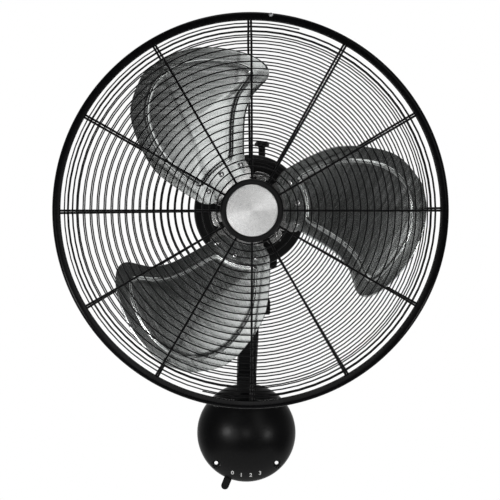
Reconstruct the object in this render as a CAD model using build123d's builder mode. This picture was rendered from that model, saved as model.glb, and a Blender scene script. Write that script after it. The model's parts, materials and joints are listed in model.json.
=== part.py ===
from build123d import *
from math import asin, cos, degrees, hypot, pi, radians, sin, sqrt
import os

# Wall mounted oscillating fan, 560 mm guard, as separate pieces in their working places.
# Frame: X to the right seen from the front, Y into the wall, Z up, in millimetres.
# The origin is the middle of the wall plate's back face, so the wall is Y = 0.
# "Depth" below is the distance in front of the wall, that is -Y.

# ---------------------------------------------------------------- driving dimensions
FAN_HEIGHT = 338.0            # fan axis above the middle of the wall plate
TILT_DEPTH = 140.0            # tilt axis in front of the wall
RIM_RADIUS = 280.0            # outside of the guard
TURN_CLEARANCE = 0.05         # radial gap of a shaft that turns in its hole
RUN_GAP = 0.1                 # gap between faces that turn against each other
FIT_GAP = 0.3                 # gap between moulded or pressed pieces
SEAT_GAP = 0.05               # gap under a piece that rests on a sloping one
SCREW_HEAD_RADIUS = 3.6       # small hexagon screws, over their corners
SCREW_HEAD_HEIGHT = 2.4

# wall base
BASE_RADIUS = 75.0
PLATE_RADIUS = 72.0
PLATE_THICKNESS = 2.0
SKIRT_DEPTH = 10.0            # the straight edge of the dome
DOME_DEPTH = 52.0
DOME_WALL = 2.5
DOME_CHORDS = 6                # straight steps from the skirt to the middle of the dome
CAVITY_CHORDS = 2
WALL_SCREW_SQUARE = 92.0
WALL_SCREW_HOLE_RADIUS = 2.8
SCREW_POCKET_RADIUS = 5.5
SCREW_SEAT_DEPTH = 7.0        # bottom of the pockets that take the screw heads
SCREW_POST_RADIUS = 7.5
GROMMET_PLACE = (34.0, 12.0)  # cable entry through the plate
GROMMET_RADIUS = 7.0
GROMMET_BORE_RADIUS = 4.0
GROMMET_LIP = 2.0

# speed switch and its lever
SWITCH_WIDTH = 34.0
SWITCH_HEIGHT = 28.0
SWITCH_BACK_DEPTH = 8.5
SWITCH_THICKNESS = 16.0
SWITCH_CORNER = 2.0
SWITCH_LEG_RADIUS = 2.5
SWITCH_LEG_PLACE = (14.0, 9.0)
LEVER_LENGTH = 87.0           # pivot to the middle of the round tip
LEVER_WIDTH = 12.0
LEVER_THICKNESS = 3.0
LEVER_BACK_DEPTH = 4.0
LEVER_HUB_RADIUS = 9.0
LEVER_SHAFT_RADIUS = 3.0
LEVER_SHAFT_LENGTH = 12.0
LEVER_REST_ANGLE = 22.0       # towards -X from straight down: speed 0
LEVER_SLOT_ANGLE = 28.0       # half of the slot in the skirt
LEVER_SLOT_GAP = 1.0

# arm between the dome and the tilt joint
ARM_WIDTH = 30.0
ARM_THICKNESS = 16.0
ARM_BEND_RADIUS = 26.0
ARM_FOOT = (14.0, 26.0)       # depth and height where the arm's middle line starts
ARM_KNEE = (19.0, 92.0)       # where it turns away from the wall
ARM_ELBOW_BACK = (8.0, 42.0)  # where it turns up again, behind and below the tilt axis
ARM_END_DROP = 8.0            # the line's end below the tilt axis
FOOT_BLOCK_DEPTH = 16.0       # solid foot between the flange and the bar
FOOT_FLANGE_THICKNESS = 4.0
FOOT_FLANGE_WIDTH = 46.0
FOOT_FLANGE_CORNER = 4.0
FOOT_FLANGE_BOTTOM = 14.0
FOOT_FLANGE_TOP = 58.0
FOOT_SCREW_SPACING = (38.0, 32.0)
ARM_SLOT_GAP = 0.5

# tilt joint
TILT_EYE_RADIUS = 14.0
FORK_GAP = 1.5                # tongue's round end to the bottom of the fork
TONGUE_WIDTH = 18.0
TONGUE_RADIUS = 13.0
TILT_BOLT_RADIUS = 4.0
TILT_KNOB_RADIUS = 11.75
TILT_KNOB_LENGTH = 15.0
TILT_KNOB_SIDES = 16
TILT_KNOB_CHAMFER = 0.8
TILT_KNOB_END_WALL = 4.0      # closed end of the knob beyond its bolt
TILT_WASHER_RADIUS = 8.8
BOLT_END = 1.5                # bolt beyond the nut
TILT_WASHER_THICKNESS = 1.6
TILT_NUT_THICKNESS = 6.0
TILT_NUT_RADIUS = 7.5

# upright pivot that the head swings on
PIVOT_RADIUS = 8.0
SOCKET_RADIUS = 17.0
SOCKET_LENGTH = 29.5
SOCKET_RISE = 17.0            # bottom of the socket above the tilt axis
SOCKET_FLOOR = 5.5            # solid bottom under the pivot post
NECK_OVERLAP = 2.0            # tongue's neck inside the socket
PIVOT_FLANGE_RADIUS = 16.0
PIVOT_FLANGE_THICKNESS = 5.0
PIVOT_SPACER_RADIUS = 12.0
PIVOT_SPACER_ROOM = 5.5       # socket to flange
LOCK_GROOVE_RISE = 14.0       # groove above the bottom of the socket
LOCK_GROOVE_RADIUS = 6.4
LOCK_GROOVE_WIDTH = 6.0
LOCK_SCREW_RADIUS = 2.5
LOCK_HEAD_RADIUS = 4.6
LOCK_HEAD_HEIGHT = 4.0
LOCK_HEAD_STANDOFF = 1.0      # under the head, to the socket's wall
PIN_EAR_THICKNESS = 7.5
PIN_END = 1.0                 # pins beyond the link they carry

# oscillation gears: worm on the motor shaft, wheel on the spindle, pinion, output gear
CASE_DROP = 84.0              # bottom of the gearbox below the fan axis
CASE_RISE = 24.0              # its top above the axis
CASE_LEFT = -16.0
CASE_RIGHT = 41.4
CASE_LENGTH = 70.0
CASE_WALL = 2.5
CASE_CORNER = 6.0
LID_THICKNESS = 2.5
LID_SCREW_INSET = 6.0
SPINDLE_BACK = 15.0           # spindle behind the tilt axis, towards the wall
SPINDLE_RADIUS = 4.0
SPINDLE_RISE = 34.0           # its top above the fan axis
SPINDLE_END_GAP = 0.2         # its foot above the pocket that carries it
SPINDLE_POCKET_FLOOR = 1.0
COLLAR_THICKNESS = 3.0
COLLAR_GAP = 0.2
WORM_MODULE = 1.5
WORM_PITCH_RADIUS = 5.0
WORM_THREAD_TURNS = 4.0
WORM_STEPS_PER_TURN = 8
WORM_CORE_DROP = 1.1          # core below the pitch circle, in modules
WORM_CREST_HALF = 0.4
WORM_FOOT_HALF = 1.2
WORM_SINK = 0.4               # foot of the thread inside the core
WORM_BACKLASH = 1.0
WHEEL_TEETH = 20
WHEEL_WIDTH = 5.0
PAIR_MODULE = 1.25
PINION_TEETH = 9
OUTPUT_TEETH = 27
PAIR_BACKLASH = 0.5
PINION_FLOOR_GAP = 1.0
PINION_WIDTH = 8.0
OUTPUT_WIDTH = 6.0
OUTPUT_HUB_RISE = 3.0
OUTPUT_SHAFT_RADIUS = 5.0
SHAFT_HOLE_GAP = 2.0          # room round the motor shaft in the walls it passes
TOOTH_TIP = 0.8               # tooth height above the pitch circle, in modules
TOOTH_ROOT = 1.15             # tooth depth below the pitch circle, in modules

# crank and link that turn the head
CRANK_RADIUS = 14.0
CRANK_REST_ANGLE = -61.95     # from +X towards the viewer
ROCKER_RADIUS = 19.8
ROCKER_REST_ANGLE = -61.88
CRANK_THICKNESS = 5.0
LINK_THICKNESS = 4.0
LINK_WIDTH = 9.0
LINK_PIN_RADIUS = 2.5
LINK_EYE_RADIUS = 5.5
LINK_FREE_PLAY = 0.3          # play of the link on the rocker pin
STACK_GAP = 0.5
CRANK_PIN_END = 1.5
CRANK_EYE_WALL = 3.0

# clutch knob on top of the head
KNOB_CAP_RADIUS = 10.9
KNOB_CAP_THICKNESS = 7.4
KNOB_CAP_CHAMFER = 3.5
KNOB_RISE = 22.0              # top of the cap above the motor
KNOB_STEM_RADIUS = 5.15
KNOB_STEM_LENGTH = 30.0
KNOB_ROD_RADIUS = 2.0
KNOB_ROD_REACH = 20.0         # rod inside the spindle
KNOB_TRAVEL = 8.0

# motor
MOTOR_RADIUS = 80.0
MOTOR_STANDOFF = 10.0         # back of the motor in front of the tilt axis
MOTOR_LENGTH = 93.0
MOTOR_REAR_LENGTH = 47.0      # of that, the rear shell
MOTOR_WALL = 3.0
MOTOR_SHOULDER = 9.0
SHELL_INNER_SIDES = 24
BOSS_SIDES = 12
BOSS_CLEARANCE = 1.0
BEARING_RADIUS = 11.0
BEARING_LENGTH = 8.0
BEARING_BOSS_WALL = 4.0
SHAFT_RADIUS = 5.0
SHAFT_TAIL = 17.0             # shaft behind the spindle's middle
SHAFT_NOSE = 76.0             # shaft in front of the motor
STATOR_RADIUS = 70.0
STATOR_SIDES = 12
STATOR_BORE_RADIUS = 32.0
STATOR_BORE_SIDES = 24
STATOR_STANDOFF = 30.0        # stator in front of the motor's back
STATOR_LENGTH = 34.0
STATOR_LUGS = 4
STATOR_LUG_WIDTH = 12.0
COIL_LENGTH = 12.0
COIL_OUTER_RADIUS = 58.0
COIL_INNER_RADIUS = 37.0
ROTOR_CORE_RADIUS = 30.5
ROTOR_CORE_OVERHANG = 2.0
REAR_COVER_ROOM = 14.0        # behind the gearbox
REAR_COVER_WALL = 2.0
REAR_COVER_SHOULDER = 12.0
LID_ROOM = 4.0                # behind the gearbox's lid, for its screws
VENT_COUNT = 14
VENT_INNER_RADIUS = 26.0
VENT_OUTER_RADIUS = 58.0
VENT_WIDTH = 4.0
CAPACITOR_SIZE = (22.0, 46.0, 30.0)
CAPACITOR_CORNER = 3.0
CAPACITOR_GAP = 6.0           # to the gearbox

# guard: two wire baskets held in one channel ring
RIM_STANDOFF = 19.0           # back of the ring in front of the motor
RIM_WIDTH = 16.0
RIM_LIP = 11.5                # height of the channel ring
RIM_WALL = 1.5
RIM_SCREW_ANGLE = 84.2        # clamp screw near the top of the ring
RIM_SCREW_RADIUS = 1.2
RIM_SCREW_HEAD_RADIUS = 2.9
RIM_SCREW_HEAD_HEIGHT = 1.0
RIM_SCREW_EDGE = 3.0          # screw's middle inside the ring's edge
WIRE_RADIUS = 1.3
WIRE_SIDES = 3
WIRE_PITCH = 9.9
SPOKE_GAP = 0.1               # spokes to the wires they carry
SPOKE_COUNT = 12
SPOKE_WIDTH = 3.2
CHORDS_PER_TURN = 24
HOOP_EDGE = 4.5               # hoops inside the ring's edge
HOOP_HEIGHT = 4.5
HOOP_DEPTH = 4.0
HOOP_GAP = 0.2                # hoop to the side of the channel ring
HOOP_SINK = 1.0               # spoke ends inside the hoop
SHOULDER_EDGE = 37.0          # where the wires turn down, inside the ring's edge
WIRE_EDGE = 15.5              # last turn of wire inside the ring's edge
SPOKE_BEND_LEAD = 0.3         # spokes bend just inside the wires' shoulder
SPOKE_END_LEAD = 1.5
SPOKE_BEND_SHARE = 0.55       # inner side of the bend, set back by this share of the thickness
FRONT_SPOKE_START = 40.0
FRONT_WIRE_START = 45.5
FRONT_WIRE_ANGLE = -45.0      # where the front spiral begins, from +X
FRONT_CENTRE_RISE = 56.0      # centre and shoulder of the front wires before the ring
FRONT_SHOULDER_RISE = 25.0
FRONT_END_SET = 3.5           # last turn behind the ring's front
REAR_WIRE_START = 82.0
REAR_WIRE_ANGLE = 0.0
REAR_TURN = 0.75              # the rear basket sits turned a little from the front one
REAR_SPOKE_START = 56.0
REAR_PLANE_STANDOFF = 4.0     # rear wires in front of the motor, at the middle and the shoulder
REAR_SHOULDER_STANDOFF = 1.0
REAR_END_SET = 4.5            # last turn before the ring's back
GUARD_SCREW_CIRCLE = 57.0
GUARD_SCREWS = 4
MOUNT_RING_INNER_RADIUS = 44.0
MOUNT_RING_OUTER_RADIUS = 70.0
BADGE_RADIUS = 36.0
BADGE_THICKNESS = 1.5
HOLDER_RADIUS = 44.0
HOLDER_THICKNESS = 4.5
BADGE_RISE = 0.8              # badge before its holder
BADGE_GAP = 0.2
CENTRE_PLATE_THICKNESS = 1.2

# blades and their carrier
BLADE_COUNT = 3
BLADE_THICKNESS = 1.6
BLADE_STEPS = 44              # straight steps round a blade's edge
BLADE_TIP_EDGE = 33.0         # blade tips inside the guard's edge
OUTLINE_REACH = 247.0         # tip radius that the blade outline below is drawn for
# each blade is a sheet rolled to one radius, hollow towards the viewer, about a skewed axis
ROLL_RADIUS = 450.0
ROLL_POINT = (150.0, 5.0)     # radius and angle of the reference point on the blade
ROLL_STANDOFF = 38.0          # the blade's middle surface there, in front of the motor
ROLL_PITCH = 14.0             # slope there, rising the way the angle grows
ROLL_SKEW = 42.5              # the roll's axis, turned from the radius towards the rising side
ROLL_HALF_ANGLE = 23.0
ROLL_HALF_LENGTH = 195.0
BEAD_INSET = 15.0
BEAD_WIDTH = 6.5
BEAD_HEIGHT = 1.4
BEAD_START = 76.0             # the bead runs out above the rivets, at this radius
CARRIER_THICKNESS = 2.5
CARRIER_GAP = 0.1             # carrier to the back of the blades
CARRIER_BOSS_RADIUS = 22.0
CARRIER_BOSS_STANDOFF = 19.0  # boss in front of the motor
CARRIER_BOSS_LENGTH = 50.0
CARRIER_DISC_RADIUS = 48.0
CARRIER_DISC_RISE = 13.0      # disc in front of the boss's back
CARRIER_LOBE_REACH = 57.0     # lobes of the disc between the blades
CARRIER_LOBE_WIDTH = 24.0
CARRIER_LOBE_ANGLE = 72.0     # first lobe from the first blade's middle line
RIVET_CIRCLE = 66.0
RIVET_ANGLES = (-17.0, 9.5, 36.0)
RIVET_RADIUS = 2.0
RIVET_HEAD_RADIUS = 3.8
RIVET_HEAD_HEIGHT = 1.6
RIVET_TAIL = 3.4              # rivet holes start this far behind the blade's back
RIVET_HOLE_LENGTH = 10.0
HUB_NUT_RADIUS = 9.0
HUB_NUT_THICKNESS = 6.0

# ---------------------------------------------------------------- derived places
CASE_BOTTOM = FAN_HEIGHT - CASE_DROP
CASE_TOP = FAN_HEIGHT + CASE_RISE
PIVOT_FLANGE_BOTTOM = CASE_BOTTOM - PIVOT_FLANGE_THICKNESS
SOCKET_TOP = PIVOT_FLANGE_BOTTOM - PIVOT_SPACER_ROOM
SOCKET_BOTTOM = SOCKET_TOP - SOCKET_LENGTH
PIVOT_FOOT = SOCKET_BOTTOM + SOCKET_FLOOR
LOCK_GROOVE_HEIGHT = SOCKET_BOTTOM + LOCK_GROOVE_RISE
TILT_HEIGHT = SOCKET_BOTTOM - SOCKET_RISE
MOTOR_BACK_DEPTH = TILT_DEPTH + MOTOR_STANDOFF
MOTOR_SPLIT_DEPTH = MOTOR_BACK_DEPTH + MOTOR_REAR_LENGTH
MOTOR_FRONT_DEPTH = MOTOR_BACK_DEPTH + MOTOR_LENGTH
CASE_BACK_DEPTH = MOTOR_BACK_DEPTH - CASE_LENGTH
REAR_COVER_BACK_DEPTH = CASE_BACK_DEPTH - REAR_COVER_ROOM
SPINDLE_DEPTH = TILT_DEPTH - SPINDLE_BACK
SPINDLE_TOP = FAN_HEIGHT + SPINDLE_RISE
PINION_BOTTOM = CASE_BOTTOM + CASE_WALL + PINION_FLOOR_GAP
KNOB_CAP_TOP = FAN_HEIGHT + MOTOR_RADIUS + KNOB_RISE
KNOB_CAP_BOTTOM = KNOB_CAP_TOP - KNOB_CAP_THICKNESS
KNOB_STEM_BOTTOM = KNOB_CAP_TOP - KNOB_STEM_LENGTH
KNOB_ROD_BOTTOM = SPINDLE_TOP - KNOB_ROD_REACH
SHAFT_BACK_DEPTH = SPINDLE_DEPTH - SHAFT_TAIL
SHAFT_FRONT_DEPTH = MOTOR_FRONT_DEPTH + SHAFT_NOSE
STATOR_BACK_DEPTH = MOTOR_BACK_DEPTH + STATOR_STANDOFF
RIM_BACK_DEPTH = MOTOR_FRONT_DEPTH + RIM_STANDOFF
RIM_FRONT_DEPTH = RIM_BACK_DEPTH + RIM_WIDTH
RIM_INNER_RADIUS = RIM_RADIUS - RIM_LIP
HOOP_OUTER_RADIUS = RIM_RADIUS - HOOP_EDGE
HOOP_INNER_RADIUS = HOOP_OUTER_RADIUS - HOOP_HEIGHT
SHOULDER_RADIUS = RIM_RADIUS - SHOULDER_EDGE
WIRE_END_RADIUS = RIM_RADIUS - WIRE_EDGE
FRONT_CENTRE_DEPTH = RIM_FRONT_DEPTH + FRONT_CENTRE_RISE
FRONT_SHOULDER_DEPTH = RIM_FRONT_DEPTH + FRONT_SHOULDER_RISE
REAR_PLANE_DEPTH = MOTOR_FRONT_DEPTH + REAR_PLANE_STANDOFF
REAR_SHOULDER_DEPTH = MOTOR_FRONT_DEPTH + REAR_SHOULDER_STANDOFF
BLADE_STRETCH = (RIM_RADIUS - BLADE_TIP_EDGE) / OUTLINE_REACH
ROLL_DEPTH = MOTOR_FRONT_DEPTH + ROLL_STANDOFF
CARRIER_BOSS_BACK = MOTOR_FRONT_DEPTH + CARRIER_BOSS_STANDOFF
CARRIER_BOSS_FRONT = CARRIER_BOSS_BACK + CARRIER_BOSS_LENGTH
FAN_AXIS = Axis((0, 0, FAN_HEIGHT), (0, -1, 0))
BASE_AXIS = Axis((0, 0, 0), (0, -1, 0))
SPINDLE_X = WORM_PITCH_RADIUS + WORM_MODULE * WHEEL_TEETH / 2
GEAR_CENTRES = PAIR_MODULE * (PINION_TEETH + OUTPUT_TEETH) / 2
OUTPUT_DEPTH = SPINDLE_DEPTH - GEAR_CENTRES
CRANK_TOP = CASE_BOTTOM - STACK_GAP
LINK_TOP = CRANK_TOP - CRANK_THICKNESS - STACK_GAP


def facing(depth, x=0.0, z=FAN_HEIGHT):
    """Plane parallel to the wall, facing the viewer; extruding goes forward."""
    return Plane(origin=(x, -depth, z), x_dir=(1, 0, 0), z_dir=(0, -1, 0))


def radial(angle, z=FAN_HEIGHT):
    """Plane through the fan axis: local x is the radius and local y the depth."""
    turn = radians(angle)
    return Plane(origin=(0, 0, z), x_dir=(cos(turn), 0, sin(turn)), z_dir=(sin(turn), 0, -cos(turn)))


def sideways(x=0.0):
    """Plane seen from the left: local x is the depth and local y the height."""
    return Plane(origin=(x, 0, 0), x_dir=(0, -1, 0), z_dir=(-1, 0, 0))


def outline(points, plane):
    """Closed straight-sided outline on a plane."""
    with BuildSketch(plane) as drawn:
        with BuildLine():
            Polyline(*points, close=True)
        make_face()
    return drawn.sketch


def disc(radius, plane, places=((0, 0),)):
    """Round outline, repeated at the given places of a plane."""
    with BuildSketch(plane) as drawn:
        with Locations(*places):
            Circle(radius)
    return drawn.sketch


def hexagon(radius, plane, places=((0, 0),)):
    with BuildSketch(plane) as drawn:
        with Locations(*places):
            RegularPolygon(radius, 6)
    return drawn.sketch


def polar_point(centre, radius, angle):
    """Point of a level plan, (x, y), from its centre, radius and angle towards the viewer."""
    turn = radians(angle)
    return (centre[0] + radius * cos(turn), centre[1] - radius * sin(turn))


def gear_outline(teeth, module, centre_angle, plane, backlash):
    """Straight-flanked gear outline with a tooth at centre_angle."""
    pitch_radius = module * teeth / 2
    tip_radius = pitch_radius + TOOTH_TIP * module
    root_radius = pitch_radius - TOOTH_ROOT * module
    half_pitch_angle = 90 / teeth
    half_tooth = half_pitch_angle - degrees(backlash / 2 / pitch_radius)
    points = []
    for index in range(teeth):
        middle = centre_angle + index * 360 / teeth
        for radius, spread in ((root_radius, -1.5), (tip_radius, -0.5), (tip_radius, 0.5), (root_radius, 1.5)):
            angle = radians(middle + spread * half_tooth)
            points.append((radius * cos(angle), radius * sin(angle)))
    return outline(points, plane)


def finish(piece, name):
    """Label a piece and write it."""
    piece.part.label = name
    export_step(piece.part, f"parts/{name}.step")


os.makedirs("parts", exist_ok=True)

# ================================================================ wall base
dome_rise = DOME_DEPTH - SKIRT_DEPTH
dome_ball_radius = (BASE_RADIUS ** 2 + dome_rise ** 2) / (2 * dome_rise)
screw_half = WALL_SCREW_SQUARE / 2
corner_places = [(x, z) for x in (-screw_half, screw_half) for z in (-screw_half, screw_half)]
foot_middle = (FOOT_FLANGE_BOTTOM + FOOT_FLANGE_TOP) / 2

with BuildPart() as wall_plate:
    extrude(disc(PLATE_RADIUS, facing(0, z=0)), PLATE_THICKNESS)
    extrude(disc(WALL_SCREW_HOLE_RADIUS, facing(0, z=0), corner_places), PLATE_THICKNESS, mode=Mode.SUBTRACT)
    extrude(disc(GROMMET_RADIUS, facing(0, z=0), [GROMMET_PLACE]), PLATE_THICKNESS, mode=Mode.SUBTRACT)
finish(wall_plate, "wall_plate")

with BuildPart() as cable_grommet:
    extrude(disc(GROMMET_RADIUS, facing(0, z=0), [GROMMET_PLACE]), PLATE_THICKNESS)
    lip = disc(GROMMET_RADIUS + GROMMET_LIP, facing(PLATE_THICKNESS, z=0), [GROMMET_PLACE])
    extrude(lip, GROMMET_LIP)
    bore = disc(GROMMET_BORE_RADIUS, facing(0, z=0), [GROMMET_PLACE])
    extrude(bore, PLATE_THICKNESS + GROMMET_LIP, mode=Mode.SUBTRACT)
finish(cable_grommet, "cable_grommet")

# the arm's middle line, as (depth, height)
arm_line = [
    ARM_FOOT,
    ARM_KNEE,
    (TILT_DEPTH - ARM_ELBOW_BACK[0], TILT_HEIGHT - ARM_ELBOW_BACK[1]),
    (TILT_DEPTH, TILT_HEIGHT - ARM_END_DROP),
]


def arm_bar(extra):
    """The bent bar of the arm, grown by extra on every side for its slot."""
    with BuildPart() as bar:
        with BuildLine(sideways()):
            FilletPolyline(*arm_line, radius=ARM_BEND_RADIUS)
        start = Vector(0, -arm_line[0][0], arm_line[0][1])
        heading = Vector(0, arm_line[0][0] - arm_line[1][0], arm_line[1][1] - arm_line[0][1])
        with BuildSketch(Plane(origin=start, x_dir=(1, 0, 0), z_dir=heading)):
            Rectangle(ARM_WIDTH + 2 * extra, ARM_THICKNESS + 2 * extra)
        sweep()
    return bar.part


def dome_profile(ball_radius, edge_radius, back, chords):
    """Half section of the dome, from its middle to its edge, as (radius, depth)."""
    centre_depth = DOME_DEPTH - dome_ball_radius
    edge_angle = asin(edge_radius / ball_radius)
    points = [(0, back)]
    for index in range(chords + 1):
        angle = edge_angle * index / chords
        points.append((ball_radius * sin(angle), centre_depth + ball_radius * cos(angle)))
    return points + [(edge_radius, back)]


with BuildPart() as dome_cavity:
    inner_profile = dome_profile(dome_ball_radius - DOME_WALL, BASE_RADIUS - DOME_WALL, 0, CAVITY_CHORDS)
    revolve(outline(inner_profile, radial(0, z=0)), axis=BASE_AXIS)
    posts = disc(SCREW_POST_RADIUS, facing(PLATE_THICKNESS, z=0), corner_places)
    extrude(posts, DOME_DEPTH, mode=Mode.SUBTRACT)

arm_slot = arm_bar(ARM_SLOT_GAP)
with BuildPart() as base_dome:
    outer_profile = dome_profile(dome_ball_radius, BASE_RADIUS, FIT_GAP, DOME_CHORDS)
    revolve(outline(outer_profile, radial(0, z=0)), axis=BASE_AXIS)
    add(dome_cavity.part, mode=Mode.SUBTRACT)
    pockets = disc(SCREW_POCKET_RADIUS, facing(SCREW_SEAT_DEPTH, z=0), corner_places)
    extrude(pockets, DOME_DEPTH, mode=Mode.SUBTRACT)
    extrude(disc(WALL_SCREW_HOLE_RADIUS, facing(0, z=0), corner_places), DOME_DEPTH, mode=Mode.SUBTRACT)
    slot_back = LEVER_BACK_DEPTH - LEVER_SLOT_GAP
    reach = BASE_RADIUS + SKIRT_DEPTH
    slot_half = radians(LEVER_SLOT_ANGLE)
    slot_corners = [(0, 0)] + [(side * reach * sin(slot_half), -reach * cos(slot_half)) for side in (-1, 1)]
    extrude(outline(slot_corners, facing(slot_back, z=0)), LEVER_THICKNESS + 2 * LEVER_SLOT_GAP, mode=Mode.SUBTRACT)
    add(arm_slot, mode=Mode.SUBTRACT)
finish(base_dome, "base_dome")

with BuildPart() as switch_body:
    with BuildSketch(facing(SWITCH_BACK_DEPTH, z=0)):
        RectangleRounded(SWITCH_WIDTH, SWITCH_HEIGHT, SWITCH_CORNER)
    extrude(amount=SWITCH_THICKNESS)
    leg_places = [(-SWITCH_LEG_PLACE[0], SWITCH_LEG_PLACE[1]), SWITCH_LEG_PLACE]
    legs = disc(SWITCH_LEG_RADIUS, facing(PLATE_THICKNESS, z=0), leg_places)
    extrude(legs, SWITCH_BACK_DEPTH - PLATE_THICKNESS)
    shaft_hole = disc(LEVER_SHAFT_RADIUS + TURN_CLEARANCE, facing(SWITCH_BACK_DEPTH, z=0))
    extrude(shaft_hole, LEVER_SHAFT_LENGTH, mode=Mode.SUBTRACT)
finish(switch_body, "switch_body")

lever_turn = radians(LEVER_REST_ANGLE)
lever_tip = (-LEVER_LENGTH * sin(lever_turn), -LEVER_LENGTH * cos(lever_turn))
with BuildPart() as speed_lever:
    with BuildSketch(facing(LEVER_BACK_DEPTH, z=0)):
        Circle(LEVER_HUB_RADIUS)
        with BuildLine(mode=Mode.PRIVATE) as lever_middle:
            Line((0, 0), lever_tip)
        trace(lever_middle.line, line_width=LEVER_WIDTH)
        with Locations(lever_tip):
            Circle(LEVER_WIDTH / 2)
    extrude(amount=LEVER_THICKNESS)
    extrude(disc(LEVER_SHAFT_RADIUS, facing(LEVER_BACK_DEPTH, z=0)), LEVER_SHAFT_LENGTH)
finish(speed_lever, "speed_lever")

# ================================================================ arm and tilt joint
TILT_AXIS_PLANE = Plane(origin=(0, -TILT_DEPTH, TILT_HEIGHT), x_dir=(0, 1, 0), z_dir=(1, 0, 0))
cheek_inner = TONGUE_WIDTH / 2 + FIT_GAP


def across(x):
    """Plane square to the tilt axis at x, facing +X, with its origin on the axis."""
    return TILT_AXIS_PLANE.offset(x)


arm_shape = arm_bar(0)
with BuildPart() as arm:
    add(arm_shape)
    with BuildSketch(facing(PLATE_THICKNESS, z=foot_middle)):
        RectangleRounded(FOOT_FLANGE_WIDTH, FOOT_FLANGE_TOP - FOOT_FLANGE_BOTTOM, FOOT_FLANGE_CORNER)
    extrude(amount=FOOT_FLANGE_THICKNESS)
    with BuildSketch(facing(PLATE_THICKNESS + FOOT_FLANGE_THICKNESS / 2, z=foot_middle)):
        Rectangle(ARM_WIDTH, ARM_THICKNESS)
    extrude(amount=FOOT_BLOCK_DEPTH)
    extrude(disc(TILT_EYE_RADIUS, across(-ARM_WIDTH / 2)), ARM_WIDTH)
    with BuildSketch(across(-cheek_inner)):
        Circle(TONGUE_RADIUS + FORK_GAP)
        with Locations((0, TILT_EYE_RADIUS)):
            Rectangle(4 * TILT_EYE_RADIUS, 2 * TILT_EYE_RADIUS)
    extrude(amount=2 * cheek_inner, mode=Mode.SUBTRACT)
    bolt_hole = disc(TILT_BOLT_RADIUS + TURN_CLEARANCE, across(-ARM_WIDTH / 2))
    extrude(bolt_hole, ARM_WIDTH, mode=Mode.SUBTRACT)
finish(arm, "arm")

arm_screw_places = [
    (x * FOOT_SCREW_SPACING[0] / 2, foot_middle + z * FOOT_SCREW_SPACING[1] / 2) for x in (-1, 1) for z in (-1, 1)
]
with BuildPart() as arm_screws:
    heads = hexagon(SCREW_HEAD_RADIUS, facing(PLATE_THICKNESS + FOOT_FLANGE_THICKNESS, z=0), arm_screw_places)
    extrude(heads, SCREW_HEAD_HEIGHT)
finish(arm_screws, "arm_screws")

rocker_place = polar_point((0, -TILT_DEPTH), ROCKER_RADIUS, ROCKER_REST_ANGLE)
with BuildPart() as tilt_bracket:
    extrude(disc(TONGUE_RADIUS, across(-TONGUE_WIDTH / 2)), TONGUE_WIDTH)
    with BuildSketch(across(-TONGUE_WIDTH / 2)):
        with Locations((0, (SOCKET_RISE + NECK_OVERLAP) / 2)):
            Rectangle(2 * TONGUE_RADIUS, SOCKET_RISE + NECK_OVERLAP)
    extrude(amount=TONGUE_WIDTH)
    extrude(disc(SOCKET_RADIUS, Plane.XY.offset(SOCKET_BOTTOM), [(0, -TILT_DEPTH)]), SOCKET_TOP - SOCKET_BOTTOM)
    with BuildSketch(Plane.XY.offset(SOCKET_TOP - PIN_EAR_THICKNESS)):
        with Locations(rocker_place):
            Circle(LINK_EYE_RADIUS)
        with BuildLine(mode=Mode.PRIVATE) as ear_middle:
            Line((0, -TILT_DEPTH), rocker_place)
        trace(ear_middle.line, line_width=2 * LINK_EYE_RADIUS)
    extrude(amount=PIN_EAR_THICKNESS)
    post_hole = disc(PIVOT_RADIUS + TURN_CLEARANCE, Plane.XY.offset(PIVOT_FOOT - STACK_GAP), [(0, -TILT_DEPTH)])
    extrude(post_hole, SOCKET_TOP, mode=Mode.SUBTRACT)
    pin_hole = disc(LINK_PIN_RADIUS, Plane.XY.offset(SOCKET_TOP - PIN_EAR_THICKNESS), [rocker_place])
    extrude(pin_hole, PIN_EAR_THICKNESS, mode=Mode.SUBTRACT)
    lock_hole = disc(LOCK_SCREW_RADIUS, facing(TILT_DEPTH - SOCKET_RADIUS - FIT_GAP, z=LOCK_GROOVE_HEIGHT))
    extrude(lock_hole, SOCKET_RADIUS, mode=Mode.SUBTRACT)
    extrude(disc(TILT_BOLT_RADIUS + TURN_CLEARANCE, across(-TONGUE_WIDTH)), 2 * TONGUE_WIDTH, mode=Mode.SUBTRACT)
finish(tilt_bracket, "tilt_bracket")

with BuildPart() as pivot_lock_screw:
    lock_tip = TILT_DEPTH - LOCK_GROOVE_RADIUS - FIT_GAP
    lock_head = TILT_DEPTH - SOCKET_RADIUS - LOCK_HEAD_STANDOFF - LOCK_HEAD_HEIGHT
    extrude(disc(LOCK_SCREW_RADIUS, facing(lock_head, z=LOCK_GROOVE_HEIGHT)), lock_tip - lock_head)
    extrude(hexagon(LOCK_HEAD_RADIUS, facing(lock_head, z=LOCK_GROOVE_HEIGHT)), LOCK_HEAD_HEIGHT)
finish(pivot_lock_screw, "pivot_lock_screw")

with BuildPart() as rocker_pin:
    pin_foot = SOCKET_TOP - PIN_EAR_THICKNESS
    extrude(disc(LINK_PIN_RADIUS, Plane.XY.offset(pin_foot), [rocker_place]), LINK_TOP + PIN_END - pin_foot)
finish(rocker_pin, "rocker_pin")

with BuildPart() as pivot_spacer:
    spacer_foot = SOCKET_TOP
    spacer_length = PIVOT_SPACER_ROOM - RUN_GAP
    extrude(disc(PIVOT_SPACER_RADIUS, Plane.XY.offset(spacer_foot), [(0, -TILT_DEPTH)]), spacer_length)
    spacer_hole = disc(PIVOT_RADIUS + TURN_CLEARANCE, Plane.XY.offset(spacer_foot), [(0, -TILT_DEPTH)])
    extrude(spacer_hole, spacer_length, mode=Mode.SUBTRACT)
finish(pivot_spacer, "pivot_spacer")

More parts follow.
